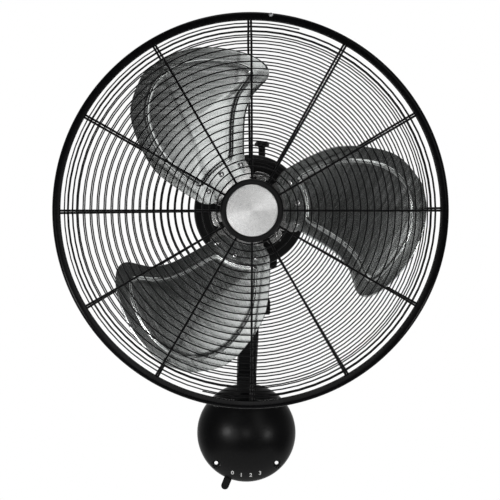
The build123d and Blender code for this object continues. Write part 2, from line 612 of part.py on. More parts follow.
knob_start = ARM_WIDTH / 2 + TILT_WASHER_THICKNESS
with BuildPart() as tilt_washer:
    extrude(disc(TILT_WASHER_RADIUS, across(ARM_WIDTH / 2)), TILT_WASHER_THICKNESS - RUN_GAP)
    extrude(disc(TILT_BOLT_RADIUS, across(ARM_WIDTH / 2)), TILT_WASHER_THICKNESS, mode=Mode.SUBTRACT)
finish(tilt_washer, "tilt_washer")

with BuildPart() as tilt_knob:
    with BuildSketch(across(knob_start)):
        RegularPolygon(TILT_KNOB_RADIUS, TILT_KNOB_SIDES)
    extrude(amount=TILT_KNOB_LENGTH)
    chamfer(tilt_knob.faces().sort_by(Axis.X)[-1].outer_wire().edges(), TILT_KNOB_CHAMFER)
    extrude(disc(TILT_BOLT_RADIUS, across(knob_start)), TILT_KNOB_LENGTH - TILT_KNOB_END_WALL, mode=Mode.SUBTRACT)
finish(tilt_knob, "tilt_knob")

nut_outer = -ARM_WIDTH / 2 - TILT_NUT_THICKNESS
with BuildPart() as tilt_bolt:
    bolt_length = knob_start + TILT_KNOB_LENGTH - TILT_KNOB_END_WALL - nut_outer + BOLT_END
    extrude(disc(TILT_BOLT_RADIUS, across(nut_outer - BOLT_END)), bolt_length)
finish(tilt_bolt, "tilt_bolt")

with BuildPart() as tilt_nut:
    extrude(hexagon(TILT_NUT_RADIUS, across(nut_outer)), TILT_NUT_THICKNESS)
    nut_hole = disc(TILT_BOLT_RADIUS + TURN_CLEARANCE, across(nut_outer))
    extrude(nut_hole, TILT_NUT_THICKNESS, mode=Mode.SUBTRACT)
finish(tilt_nut, "tilt_nut")

# ================================================================ pivot, gearbox and linkage
with BuildPart() as pivot_post:
    at_pivot = [(0, -TILT_DEPTH)]
    extrude(disc(PIVOT_RADIUS, Plane.XY.offset(PIVOT_FOOT), at_pivot), CASE_BOTTOM - PIVOT_FOOT)
    extrude(disc(PIVOT_FLANGE_RADIUS, Plane.XY.offset(PIVOT_FLANGE_BOTTOM), at_pivot), PIVOT_FLANGE_THICKNESS)
    with BuildSketch(Plane.XY.offset(LOCK_GROOVE_HEIGHT - LOCK_GROOVE_WIDTH / 2)):
        with Locations(*at_pivot):
            Circle(PIVOT_RADIUS + FIT_GAP)
            Circle(LOCK_GROOVE_RADIUS, mode=Mode.SUBTRACT)
    extrude(amount=LOCK_GROOVE_WIDTH, mode=Mode.SUBTRACT)
finish(pivot_post, "pivot_post")

case_width = CASE_RIGHT - CASE_LEFT
case_height = CASE_TOP - CASE_BOTTOM
case_middle = ((CASE_LEFT + CASE_RIGHT) / 2, (CASE_TOP + CASE_BOTTOM) / 2 - FAN_HEIGHT)


def case_outline(depth, grow):
    """The gearbox's rounded outline, grown or shrunk evenly."""
    with BuildSketch(facing(depth)) as drawn:
        with Locations(case_middle):
            RectangleRounded(case_width + 2 * grow, case_height + 2 * grow, CASE_CORNER + grow)
    return drawn.sketch


lid_reach = (case_width / 2 - LID_SCREW_INSET, case_height / 2 - LID_SCREW_INSET)
lid_screw_places = [
    (case_middle[0] + sx * lid_reach[0], case_middle[1] + sz * lid_reach[1]) for sx in (-1, 1) for sz in (-1, 1)
]
at_spindle = [(SPINDLE_X, -SPINDLE_DEPTH)]
at_output = [(SPINDLE_X, -OUTPUT_DEPTH)]

with BuildPart() as gearbox_case:
    extrude(case_outline(CASE_BACK_DEPTH, 0), MOTOR_BACK_DEPTH - CASE_BACK_DEPTH)
    extrude(case_outline(CASE_BACK_DEPTH, -CASE_WALL), MOTOR_BACK_DEPTH - CASE_BACK_DEPTH - CASE_WALL,
            mode=Mode.SUBTRACT)
    extrude(disc(OUTPUT_SHAFT_RADIUS + TURN_CLEARANCE, Plane.XY.offset(CASE_BOTTOM), at_output), CASE_WALL,
            mode=Mode.SUBTRACT)
    spindle_bore = disc(SPINDLE_RADIUS + TURN_CLEARANCE, Plane.XY.offset(CASE_BOTTOM + SPINDLE_POCKET_FLOOR), at_spindle)
    extrude(spindle_bore, CASE_TOP - CASE_BOTTOM, mode=Mode.SUBTRACT)
    shaft_hole = disc(SHAFT_RADIUS + SHAFT_HOLE_GAP, facing(MOTOR_BACK_DEPTH - 2 * CASE_WALL))
    extrude(shaft_hole, 4 * CASE_WALL, mode=Mode.SUBTRACT)
finish(gearbox_case, "gearbox_case")

with BuildPart() as gearbox_lid:
    extrude(case_outline(CASE_BACK_DEPTH - LID_THICKNESS, 0), LID_THICKNESS)
finish(gearbox_lid, "gearbox_lid")

with BuildPart() as lid_screws:
    lid_back = facing(CASE_BACK_DEPTH - LID_THICKNESS - SCREW_HEAD_HEIGHT)
    extrude(hexagon(SCREW_HEAD_RADIUS, lid_back, lid_screw_places), SCREW_HEAD_HEIGHT)
finish(lid_screws, "lid_screws")

wheel_plane = Plane(origin=(SPINDLE_X, -SPINDLE_DEPTH, FAN_HEIGHT - WHEEL_WIDTH / 2))
with BuildPart() as worm_wheel:
    half_tooth_turn = 180 / WHEEL_TEETH
    extrude(gear_outline(WHEEL_TEETH, WORM_MODULE, 180 + half_tooth_turn, wheel_plane, WORM_BACKLASH), WHEEL_WIDTH)
    extrude(disc(SPINDLE_RADIUS + TURN_CLEARANCE, wheel_plane), WHEEL_WIDTH, mode=Mode.SUBTRACT)
finish(worm_wheel, "worm_wheel")

pinion_plane = Plane(origin=(SPINDLE_X, -SPINDLE_DEPTH, PINION_BOTTOM))
with BuildPart() as clutch_spindle:
    spindle_foot = CASE_BOTTOM + SPINDLE_POCKET_FLOOR + SPINDLE_END_GAP
    extrude(disc(SPINDLE_RADIUS, Plane.XY.offset(spindle_foot), at_spindle), SPINDLE_TOP - spindle_foot)
    extrude(gear_outline(PINION_TEETH, PAIR_MODULE, 90, pinion_plane, PAIR_BACKLASH), PINION_WIDTH)
    collar_foot = FAN_HEIGHT - WHEEL_WIDTH / 2 - COLLAR_GAP - COLLAR_THICKNESS
    extrude(disc(2 * SPINDLE_RADIUS, Plane.XY.offset(collar_foot), at_spindle), COLLAR_THICKNESS)
    rod_hole_foot = KNOB_ROD_BOTTOM - KNOB_TRAVEL - STACK_GAP
    rod_hole = disc(KNOB_ROD_RADIUS + TURN_CLEARANCE, Plane.XY.offset(rod_hole_foot), at_spindle)
    extrude(rod_hole, SPINDLE_TOP, mode=Mode.SUBTRACT)
finish(clutch_spindle, "clutch_spindle")

with BuildPart() as clutch_knob:
    extrude(disc(KNOB_ROD_RADIUS, Plane.XY.offset(KNOB_ROD_BOTTOM), at_spindle), KNOB_STEM_BOTTOM - KNOB_ROD_BOTTOM)
    extrude(disc(KNOB_STEM_RADIUS, Plane.XY.offset(KNOB_STEM_BOTTOM), at_spindle), KNOB_CAP_TOP - KNOB_STEM_BOTTOM)
    extrude(disc(KNOB_CAP_RADIUS, Plane.XY.offset(KNOB_CAP_BOTTOM), at_spindle), KNOB_CAP_TOP - KNOB_CAP_BOTTOM)
    chamfer(clutch_knob.edges().group_by(Axis.Z)[-1], KNOB_CAP_CHAMFER)
finish(clutch_knob, "clutch_knob")

output_plane = Plane(origin=(SPINDLE_X, -OUTPUT_DEPTH, PINION_BOTTOM + (PINION_WIDTH - OUTPUT_WIDTH) / 2))
with BuildPart() as output_gear:
    gap_turn = 180 / OUTPUT_TEETH
    extrude(gear_outline(OUTPUT_TEETH, PAIR_MODULE, gap_turn - 90, output_plane, PAIR_BACKLASH), OUTPUT_WIDTH)
    shaft_foot = CRANK_TOP - CRANK_THICKNESS
    shaft_length = output_plane.origin.Z + OUTPUT_WIDTH + OUTPUT_HUB_RISE - shaft_foot
    extrude(disc(OUTPUT_SHAFT_RADIUS, Plane.XY.offset(shaft_foot), at_output), shaft_length)
finish(output_gear, "output_gear")

output_place = (SPINDLE_X, -OUTPUT_DEPTH)
crank_pin_place = polar_point(output_place, CRANK_RADIUS, CRANK_REST_ANGLE)
with BuildPart() as crank_arm:
    with BuildSketch(Plane.XY.offset(CRANK_TOP - CRANK_THICKNESS)):
        with Locations(output_place):
            Circle(OUTPUT_SHAFT_RADIUS + CRANK_EYE_WALL)
        with Locations(crank_pin_place):
            Circle(LINK_EYE_RADIUS)
        with BuildLine(mode=Mode.PRIVATE) as crank_middle:
            Line(output_place, crank_pin_place)
        trace(crank_middle.line, line_width=2 * LINK_EYE_RADIUS)
        with Locations(output_place):
            Circle(OUTPUT_SHAFT_RADIUS, mode=Mode.SUBTRACT)
    extrude(amount=CRANK_THICKNESS)
    pin_length = LINK_THICKNESS + STACK_GAP + CRANK_PIN_END
    crank_pin = disc(LINK_PIN_RADIUS, Plane.XY.offset(CRANK_TOP - CRANK_THICKNESS - pin_length), [crank_pin_place])
    extrude(crank_pin, pin_length)
finish(crank_arm, "crank_arm")

with BuildPart() as swing_link:
    with BuildSketch(Plane.XY.offset(LINK_TOP - LINK_THICKNESS)):
        with BuildLine(mode=Mode.PRIVATE) as link_middle:
            Line(crank_pin_place, rocker_place)
        trace(link_middle.line, line_width=LINK_WIDTH)
        with Locations(crank_pin_place, rocker_place):
            Circle(LINK_EYE_RADIUS)
        with Locations(crank_pin_place):
            Circle(LINK_PIN_RADIUS + TURN_CLEARANCE, mode=Mode.SUBTRACT)
        with Locations(rocker_place):
            Circle(LINK_PIN_RADIUS + LINK_FREE_PLAY, mode=Mode.SUBTRACT)
    extrude(amount=LINK_THICKNESS)
finish(swing_link, "swing_link")

# ================================================================ motor
shell_inner = MOTOR_RADIUS - MOTOR_WALL
boss_outer = BEARING_RADIUS + BEARING_BOSS_WALL
boss_front = MOTOR_BACK_DEPTH + MOTOR_WALL + BEARING_LENGTH
boss_back = MOTOR_FRONT_DEPTH - MOTOR_WALL - BEARING_LENGTH

with BuildPart() as motor_rear_shell:
    extrude(disc(MOTOR_RADIUS, facing(MOTOR_BACK_DEPTH)), MOTOR_SPLIT_DEPTH - MOTOR_BACK_DEPTH)
    with BuildSketch(facing(MOTOR_BACK_DEPTH + MOTOR_WALL)):
        RegularPolygon(shell_inner, SHELL_INNER_SIDES)
        RegularPolygon(boss_outer, BOSS_SIDES, mode=Mode.SUBTRACT)
    extrude(amount=MOTOR_SPLIT_DEPTH - MOTOR_BACK_DEPTH, mode=Mode.SUBTRACT)
    with BuildSketch(facing(boss_front)):
        RegularPolygon(boss_outer + BOSS_CLEARANCE, BOSS_SIDES)
    extrude(amount=MOTOR_SPLIT_DEPTH - boss_front, mode=Mode.SUBTRACT)
    extrude(disc(BEARING_RADIUS, facing(MOTOR_BACK_DEPTH + MOTOR_WALL)), BEARING_LENGTH, mode=Mode.SUBTRACT)
    extrude(disc(SHAFT_RADIUS + SHAFT_HOLE_GAP, facing(MOTOR_BACK_DEPTH)), MOTOR_WALL, mode=Mode.SUBTRACT)
finish(motor_rear_shell, "motor_rear_shell")

with BuildPart() as motor_front_shell:
    revolve(outline([
        (0, MOTOR_FRONT_DEPTH), (MOTOR_RADIUS - MOTOR_SHOULDER, MOTOR_FRONT_DEPTH),
        (MOTOR_RADIUS, MOTOR_FRONT_DEPTH - MOTOR_SHOULDER), (MOTOR_RADIUS, MOTOR_SPLIT_DEPTH), (0, MOTOR_SPLIT_DEPTH),
    ], radial(0)), axis=FAN_AXIS)
    with BuildSketch(facing(MOTOR_SPLIT_DEPTH)):
        RegularPolygon(shell_inner, SHELL_INNER_SIDES)
    extrude(amount=MOTOR_FRONT_DEPTH - MOTOR_SHOULDER - MOTOR_SPLIT_DEPTH, mode=Mode.SUBTRACT)
    with BuildSketch(facing(MOTOR_FRONT_DEPTH - MOTOR_SHOULDER)):
        RegularPolygon(shell_inner - MOTOR_SHOULDER, SHELL_INNER_SIDES)
    extrude(amount=MOTOR_SHOULDER - MOTOR_WALL, mode=Mode.SUBTRACT)
    with BuildSketch(facing(boss_back)):
        RegularPolygon(boss_outer, BOSS_SIDES)
    extrude(amount=BEARING_LENGTH + MOTOR_WALL)
    extrude(disc(BEARING_RADIUS, facing(boss_back)), BEARING_LENGTH, mode=Mode.SUBTRACT)
    shaft_hole = disc(SHAFT_RADIUS + SHAFT_HOLE_GAP, facing(boss_back))
    extrude(shaft_hole, BEARING_LENGTH + MOTOR_WALL, mode=Mode.SUBTRACT)
finish(motor_front_shell, "motor_front_shell")

with BuildPart() as shaft_bearings:
    for back in (MOTOR_BACK_DEPTH + MOTOR_WALL, boss_back):
        with BuildSketch(facing(back)):
            Circle(BEARING_RADIUS)
            Circle(SHAFT_RADIUS + TURN_CLEARANCE, mode=Mode.SUBTRACT)
        extrude(amount=BEARING_LENGTH)
finish(shaft_bearings, "shaft_bearings")

lug_start = STATOR_RADIUS - MOTOR_WALL
lug_end = shell_inner * cos(pi / SHELL_INNER_SIDES) - FIT_GAP
with BuildPart() as stator_core:
    with BuildSketch(facing(STATOR_BACK_DEPTH)):
        RegularPolygon(STATOR_RADIUS, STATOR_SIDES)
        RegularPolygon(STATOR_BORE_RADIUS, STATOR_BORE_SIDES, mode=Mode.SUBTRACT)
    extrude(amount=STATOR_LENGTH)
    # lugs hold the laminations in the shells
    with BuildSketch(facing(STATOR_BACK_DEPTH)):
        with PolarLocations((lug_start + lug_end) / 2, STATOR_LUGS, start_angle=180 / STATOR_LUGS):
            Rectangle(lug_end - lug_start, STATOR_LUG_WIDTH)
    extrude(amount=STATOR_LENGTH)
finish(stator_core, "stator_core")

with BuildPart() as stator_windings:
    for back in (STATOR_BACK_DEPTH - COIL_LENGTH, STATOR_BACK_DEPTH + STATOR_LENGTH):
        with BuildSketch(facing(back)):
            RegularPolygon(COIL_OUTER_RADIUS, STATOR_SIDES)
            RegularPolygon(COIL_INNER_RADIUS, STATOR_SIDES, mode=Mode.SUBTRACT)
        extrude(amount=COIL_LENGTH)
finish(stator_windings, "stator_windings")

cover_wall = REAR_COVER_WALL
cover_inner = MOTOR_RADIUS - cover_wall
with BuildPart() as rear_cover:
    revolve(outline([
        (0, REAR_COVER_BACK_DEPTH), (MOTOR_RADIUS - REAR_COVER_SHOULDER, REAR_COVER_BACK_DEPTH),
        (MOTOR_RADIUS, REAR_COVER_BACK_DEPTH + REAR_COVER_SHOULDER), (MOTOR_RADIUS, MOTOR_BACK_DEPTH),
        (cover_inner, MOTOR_BACK_DEPTH), (cover_inner, REAR_COVER_BACK_DEPTH + REAR_COVER_SHOULDER + cover_wall / 2),
        (cover_inner - REAR_COVER_SHOULDER + cover_wall / 2, REAR_COVER_BACK_DEPTH + cover_wall),
        (0, REAR_COVER_BACK_DEPTH + cover_wall),
    ], radial(0)), axis=FAN_AXIS)
    # the gearbox hangs out below through this gap
    with BuildSketch(facing(CASE_BACK_DEPTH - LID_THICKNESS - LID_ROOM)):
        with Locations((case_middle[0], -MOTOR_RADIUS)):
            Rectangle(case_width + 2 * FIT_GAP, MOTOR_RADIUS)
    extrude(amount=CASE_LENGTH + LID_THICKNESS + LID_ROOM, mode=Mode.SUBTRACT)
    stem_hole = disc(KNOB_STEM_RADIUS + FIT_GAP, Plane.XY.offset(FAN_HEIGHT + MOTOR_RADIUS / 2), at_spindle)
    extrude(stem_hole, MOTOR_RADIUS, mode=Mode.SUBTRACT)
    with BuildSketch(facing(REAR_COVER_BACK_DEPTH)):
        with PolarLocations((VENT_INNER_RADIUS + VENT_OUTER_RADIUS) / 2, VENT_COUNT):
            Rectangle(VENT_OUTER_RADIUS - VENT_INNER_RADIUS, VENT_WIDTH)
    extrude(amount=cover_wall, mode=Mode.SUBTRACT)
finish(rear_cover, "rear_cover")

with BuildPart() as run_capacitor:
    with BuildSketch(facing(MOTOR_BACK_DEPTH - CAPACITOR_SIZE[2])):
        with Locations((CASE_LEFT - CAPACITOR_SIZE[0] / 2 - CAPACITOR_GAP, 0)):
            RectangleRounded(CAPACITOR_SIZE[0], CAPACITOR_SIZE[1], CAPACITOR_CORNER)
    extrude(amount=CAPACITOR_SIZE[2])
finish(run_capacitor, "run_capacitor")

# ---------------------------------------------------------------- rotor
worm_lead = pi * WORM_MODULE
worm_start = SPINDLE_DEPTH - WORM_THREAD_TURNS / 2 * worm_lead
worm_core = WORM_PITCH_RADIUS - WORM_CORE_DROP * WORM_MODULE
worm_foot = worm_core - WORM_SINK
worm_tip = WORM_PITCH_RADIUS + TOOTH_TIP * WORM_MODULE
worm_front = worm_start + (WORM_THREAD_TURNS + 1) * worm_lead

with BuildPart() as worm_thread:
    # one start; at angle 0 a crest faces the wheel's middle, halfway between two teeth
    steps = int(WORM_THREAD_TURNS * WORM_STEPS_PER_TURN)
    for index in range(steps + 1):
        turn = 360 * index / WORM_STEPS_PER_TURN
        middle = worm_start + worm_lead / 2 + worm_lead * (index / WORM_STEPS_PER_TURN - 0.5)
        with BuildSketch(radial(turn + 180 * WORM_THREAD_TURNS)):
            with BuildLine():
                Polyline((worm_foot, middle - WORM_FOOT_HALF), (worm_tip, middle - WORM_CREST_HALF),
                         (worm_tip, middle + WORM_CREST_HALF), (worm_foot, middle + WORM_FOOT_HALF), close=True)
            make_face()
    loft(ruled=True)

with BuildPart() as motor_shaft:
    extrude(disc(worm_core, facing(SHAFT_BACK_DEPTH)), worm_front - SHAFT_BACK_DEPTH)
    extrude(disc(SHAFT_RADIUS, facing(worm_front)), SHAFT_FRONT_DEPTH - worm_front)
    add(worm_thread.part)
finish(motor_shaft, "motor_shaft")

with BuildPart() as rotor_core:
    with BuildSketch(facing(STATOR_BACK_DEPTH - ROTOR_CORE_OVERHANG)):
        RegularPolygon(ROTOR_CORE_RADIUS, STATOR_BORE_SIDES)
        Circle(SHAFT_RADIUS, mode=Mode.SUBTRACT)
    extrude(amount=STATOR_LENGTH + 2 * ROTOR_CORE_OVERHANG)
finish(rotor_core, "rotor_core")


roll_turn = radians(ROLL_POINT[1])
roll_outward = Vector(cos(roll_turn), 0, sin(roll_turn))
roll_across = Vector(-sin(roll_turn), 0, cos(roll_turn))
roll_forward = Vector(0, -1, 0)
roll_climb = roll_across * cos(radians(ROLL_PITCH)) + roll_forward * sin(radians(ROLL_PITCH))
roll_axis = roll_outward * cos(radians(ROLL_SKEW)) + roll_climb * sin(radians(ROLL_SKEW))
roll_normal = roll_forward * cos(radians(ROLL_PITCH)) - roll_across * sin(radians(ROLL_PITCH))
roll_point = Vector(0, -ROLL_DEPTH, FAN_HEIGHT) + roll_outward * ROLL_POINT[0]
roll_centre = roll_point + roll_normal * ROLL_RADIUS
roll_plane = Plane(origin=roll_point, x_dir=roll_normal.cross(roll_axis), z_dir=roll_axis)


def rolled_sheet(thickness, rise):
    """Sheet rolled like the blades, with its middle surface rise in front of theirs."""
    with BuildPart() as sheet:
        with BuildSketch(roll_plane):
            with BuildLine():
                start, sweep_angle = -90 - ROLL_HALF_ANGLE, 2 * ROLL_HALF_ANGLE
                back = CenterArc((0, ROLL_RADIUS), ROLL_RADIUS - rise + thickness / 2, start, sweep_angle)
                front = CenterArc((0, ROLL_RADIUS), ROLL_RADIUS - rise - thickness / 2, start, sweep_angle)
                Line(back @ 0, front @ 0)
                Line(back @ 1, front @ 1)
            make_face()
        extrude(amount=ROLL_HALF_LENGTH, both=True)
    return sheet.part


def on_blade(radius, angle, rise):
    """Plane that touches the blade's middle surface from the front view's polar point, moved by rise."""
    turn = radians(angle)
    sight = Vector(radius * cos(turn), 0, FAN_HEIGHT + radius * sin(turn)) - roll_centre
    sight_square = sight - roll_axis * sight.dot(roll_axis)
    forward_square = roll_forward - roll_axis * roll_forward.dot(roll_axis)
    a = forward_square.dot(forward_square)
    b = sight_square.dot(forward_square)
    c = sight_square.dot(sight_square) - ROLL_RADIUS ** 2
    depth = (-b - sqrt(b * b - a * c)) / a
    normal = (sight_square + forward_square * depth).normalized() * -1
    point = Vector(radius * cos(turn), -depth, FAN_HEIGHT + radius * sin(turn)) + normal * rise
    return Plane(origin=point, x_dir=Vector(cos(turn), 0, sin(turn)).cross(normal), z_dir=normal)


# blade outline as (degrees from the middle line, radius), round the tip from the leading root
BLADE_OUTLINE = [
    (-21, 56), (-23.5, 84), (-25.6, 127), (-31.5, 166), (-37.2, 190), (-36.5, 207), (-27, 223),
    (-13, 240), (0, 247), (10, 241), (20, 220), (28, 187), (36.5, 149), (42, 114), (48.5, 79), (50, 58),
    (40, 50), (15, 49), (-10, 50),
]


edge_places = [(BLADE_STRETCH * r * cos(radians(a)), BLADE_STRETCH * r * sin(radians(a))) for a, r in BLADE_OUTLINE]
blade_edge = Spline(*edge_places, periodic=True)
blade_points = [(blade_edge @ (step / BLADE_STEPS)) for step in range(BLADE_STEPS)]


def inset_outline(inset):
    """The blade's outline drawn in evenly; steps that come too near another side are left out."""
    points = []
    for index, place in enumerate(blade_points):
        along = (blade_points[(index + 1) % BLADE_STEPS] - blade_points[index - 1]).normalized()
        moved = place + Vector(-along.Y, along.X) * inset
        if min((moved - other).length for other in blade_points) > inset - BLADE_STRETCH * BLADE_THICKNESS:
            points.append((moved.X, moved.Y))
    return outline(points, facing(REAR_PLANE_DEPTH))


carrier_rise = -(BLADE_THICKNESS + CARRIER_THICKNESS) / 2 - CARRIER_GAP
rivet_hole_back = carrier_rise - CARRIER_THICKNESS / 2 - RIVET_TAIL
blade_room = FRONT_CENTRE_DEPTH - REAR_PLANE_DEPTH
bead_sheet = rolled_sheet(BEAD_HEIGHT, BLADE_THICKNESS / 2)
with BuildPart() as bead:
    add(bead_sheet)
    extrude(inset_outline(BLADE_STRETCH * BEAD_INSET), blade_room, mode=Mode.INTERSECT)
    extrude(inset_outline(BLADE_STRETCH * (BEAD_INSET + BEAD_WIDTH)), blade_room, mode=Mode.SUBTRACT)
    extrude(disc(BEAD_START, facing(REAR_PLANE_DEPTH)), blade_room, mode=Mode.SUBTRACT)

blade_sheet = rolled_sheet(BLADE_THICKNESS, 0)
with BuildPart() as blade_shape:
    add(blade_sheet)
    extrude(inset_outline(0), blade_room, mode=Mode.INTERSECT)
    add(bead.part)
    for angle in RIVET_ANGLES:
        rivet_hole = disc(RIVET_RADIUS, on_blade(RIVET_CIRCLE, angle, rivet_hole_back))
        extrude(rivet_hole, RIVET_HOLE_LENGTH, mode=Mode.SUBTRACT)

for index in range(BLADE_COUNT):
    with BuildPart() as blade:
        add(blade_shape.part.rotate(FAN_AXIS, index * 360 / BLADE_COUNT))
    finish(blade, f"blade_{index + 1}")

# front view of a carrier arm, as (degrees, radius), from the boss out round the three rivets
ARM_OUTLINE = [(-70, 12), (-34, 50), (-25, 73), (9.5, 79), (44, 73), (50, 50), (100, 12)]

with BuildPart() as carrier_arm:
    with BuildSketch(on_blade(RIVET_CIRCLE, RIVET_ANGLES[1], carrier_rise - CARRIER_THICKNESS / 2)):
        Rectangle(4 * RIVET_CIRCLE, 4 * RIVET_CIRCLE)
    extrude(amount=CARRIER_THICKNESS)
    arm_points = [(r * cos(radians(a)), r * sin(radians(a))) for a, r in ARM_OUTLINE]
    extrude(outline(arm_points, facing(CARRIER_BOSS_BACK)), CARRIER_BOSS_FRONT - CARRIER_BOSS_BACK,
            mode=Mode.INTERSECT)
    for angle in RIVET_ANGLES:
        rivet_hole = disc(RIVET_RADIUS, on_blade(RIVET_CIRCLE, angle, rivet_hole_back))
        extrude(rivet_hole, RIVET_HOLE_LENGTH, mode=Mode.SUBTRACT)

with BuildPart() as blade_carrier:
    extrude(disc(CARRIER_BOSS_RADIUS, facing(CARRIER_BOSS_BACK)), CARRIER_BOSS_FRONT - CARRIER_BOSS_BACK)
    with BuildSketch(facing(CARRIER_BOSS_BACK + CARRIER_DISC_RISE)):
        Circle(CARRIER_DISC_RADIUS)
        with PolarLocations(CARRIER_LOBE_REACH / 2, BLADE_COUNT, start_angle=CARRIER_LOBE_ANGLE):
            Rectangle(CARRIER_LOBE_REACH, CARRIER_LOBE_WIDTH)
    extrude(amount=CARRIER_THICKNESS)
    for index in range(BLADE_COUNT):
        add(carrier_arm.part.rotate(FAN_AXIS, index * 360 / BLADE_COUNT))
    extrude(disc(SHAFT_RADIUS, facing(CARRIER_BOSS_BACK)), CARRIER_BOSS_FRONT - CARRIER_BOSS_BACK,
            mode=Mode.SUBTRACT)
finish(blade_carrier, "blade_carrier")

with BuildPart() as rivet_set:
    for angle in RIVET_ANGLES:
        shank_back = carrier_rise - CARRIER_THICKNESS / 2
        head_back = BLADE_THICKNESS / 2 + CARRIER_GAP
        shank = disc(RIVET_RADIUS, on_blade(RIVET_CIRCLE, angle, shank_back))
        extrude(shank, head_back + RIVET_HEAD_HEIGHT / 2 - shank_back)
        extrude(hexagon(RIVET_HEAD_RADIUS, on_blade(RIVET_CIRCLE, angle, head_back)), RIVET_HEAD_HEIGHT)

with BuildPart() as blade_rivets:
    for index in range(BLADE_COUNT):
        add(rivet_set.part.rotate(FAN_AXIS, index * 360 / BLADE_COUNT))
finish(blade_rivets, "blade_rivets")

with BuildPart() as hub_nut:
    extrude(hexagon(HUB_NUT_RADIUS, facing(CARRIER_BOSS_FRONT)), HUB_NUT_THICKNESS)
    extrude(disc(SHAFT_RADIUS, facing(CARRIER_BOSS_FRONT)), HUB_NUT_THICKNESS, mode=Mode.SUBTRACT)
finish(hub_nut, "hub_nut")

# ================================================================ guard
front_line = [
    (FRONT_SPOKE_START, FRONT_CENTRE_DEPTH), (SHOULDER_RADIUS, FRONT_SHOULDER_DEPTH),
    (WIRE_END_RADIUS, RIM_FRONT_DEPTH - FRONT_END_SET),
]
rear_line = [
    (REAR_SPOKE_START, REAR_PLANE_DEPTH), (SHOULDER_RADIUS, REAR_SHOULDER_DEPTH),
    (WIRE_END_RADIUS, RIM_BACK_DEPTH + REAR_END_SET),
]


def line_depth(line, radius):
    """Depth of a basket's wires at a radius, along its two straight slopes."""
    (r0, d0), (r1, d1), (r2, d2) = line
    if radius < r1:
        return d0 + (d1 - d0) * (radius - r0) / (r1 - r0)
    return d1 + (d2 - d1) * (radius - r1) / (r2 - r1)


def wire_points(line, start, start_angle):
    """The one spiral wire of a basket, as straight chords from its inner end to the rim."""
    (r0, d0), (r1, d1), (r2, d2) = line
    points = []
    radius = start
    turn = start_angle
    while radius < WIRE_END_RADIUS:
        angle = radians(turn)
        points.append((radius * cos(angle), -line_depth(line, radius), FAN_HEIGHT + radius * sin(angle)))
        run, climb = (r1 - r0, d1 - d0) if radius < r1 else (r2 - r1, d2 - d1)
        radius += WIRE_PITCH / CHORDS_PER_TURN * run / hypot(run, climb)
        turn -= 360 / CHORDS_PER_TURN
    return points


def spiral_wire(points):
    with BuildPart() as wire:
        with BuildLine():
            Polyline(*points)
        with BuildSketch(Plane(origin=points[0], z_dir=Vector(*points[1]) - Vector(*points[0]))):
            RegularPolygon(WIRE_RADIUS, WIRE_SIDES)
        sweep(transition=Transition.RIGHT)
    return wire.part


def spokes_and_hoop(line, inward, hoop_back, turn):
    """Radial spokes just inside the spiral wire, and the hoop that the rim grips."""
    (r0, d0), (r1, d1), (r2, d2) = line
    near = inward * (WIRE_RADIUS + SPOKE_GAP)
    far = near + inward * SPOKE_WIDTH
    slope = SPOKE_BEND_SHARE * abs(far)
    spoke_end = r2 - SPOKE_END_LEAD
    sunk = HOOP_INNER_RADIUS + HOOP_SINK
    hoop_middle = hoop_back + HOOP_DEPTH / 2
    half = SPOKE_WIDTH / 2
    strip = [
        (r0, d0 + near), (r1 - SPOKE_BEND_LEAD, d1 + near), (spoke_end, hoop_middle - inward * half),
        (sunk, hoop_middle - inward * half), (sunk, hoop_middle + inward * half),
        (spoke_end - slope, hoop_middle + inward * half), (r1 - slope, d1 + far), (r0, d0 + far),
    ]
    with BuildPart() as frame:
        with BuildSketch(facing(hoop_back)):
            RegularPolygon(HOOP_OUTER_RADIUS, CHORDS_PER_TURN, rotation=turn)
            RegularPolygon(HOOP_INNER_RADIUS, CHORDS_PER_TURN, rotation=turn, mode=Mode.SUBTRACT)
        extrude(amount=HOOP_DEPTH)
        for index in range(SPOKE_COUNT):
            extrude(outline(strip, radial(turn + index * 360 / SPOKE_COUNT)), SPOKE_WIDTH / 2, both=True)
    return frame.part


front_frame = spokes_and_hoop(front_line, -1, RIM_FRONT_DEPTH - RIM_WALL - HOOP_GAP - HOOP_DEPTH, 0)
front_spiral = spiral_wire(wire_points(front_line, FRONT_WIRE_START, FRONT_WIRE_ANGLE))
with BuildPart() as front_guard:
    add(front_frame)
    add(front_spiral)
finish(front_guard, "front_guard")

rear_frame = spokes_and_hoop(rear_line, 1, RIM_BACK_DEPTH + RIM_WALL + HOOP_GAP, REAR_TURN)
rear_spiral = spiral_wire(wire_points(rear_line, REAR_WIRE_START, REAR_WIRE_ANGLE))
with BuildPart() as rear_guard:
    add(rear_frame)
    add(rear_spiral)
finish(rear_guard, "rear_guard")

# the ring that the rear spokes stand on, against the front of the motor
with BuildPart() as guard_mount_ring:
    with BuildSketch(facing(MOTOR_FRONT_DEPTH)):
        RegularPolygon(MOUNT_RING_OUTER_RADIUS, CHORDS_PER_TURN)
        Circle(MOUNT_RING_INNER_RADIUS, mode=Mode.SUBTRACT)
    ring_front = line_depth(rear_line, MOUNT_RING_OUTER_RADIUS) + WIRE_RADIUS + SPOKE_GAP - SEAT_GAP
    extrude(amount=ring_front - MOTOR_FRONT_DEPTH)
finish(guard_mount_ring, "guard_mount_ring")

with BuildPart() as guard_screws:
    with BuildSketch(facing(ring_front)):
        with PolarLocations(GUARD_SCREW_CIRCLE, GUARD_SCREWS, start_angle=180 / GUARD_SCREWS):
            RegularPolygon(SCREW_HEAD_RADIUS, 6)
    extrude(amount=SCREW_HEAD_HEIGHT)
finish(guard_screws, "guard_screws")

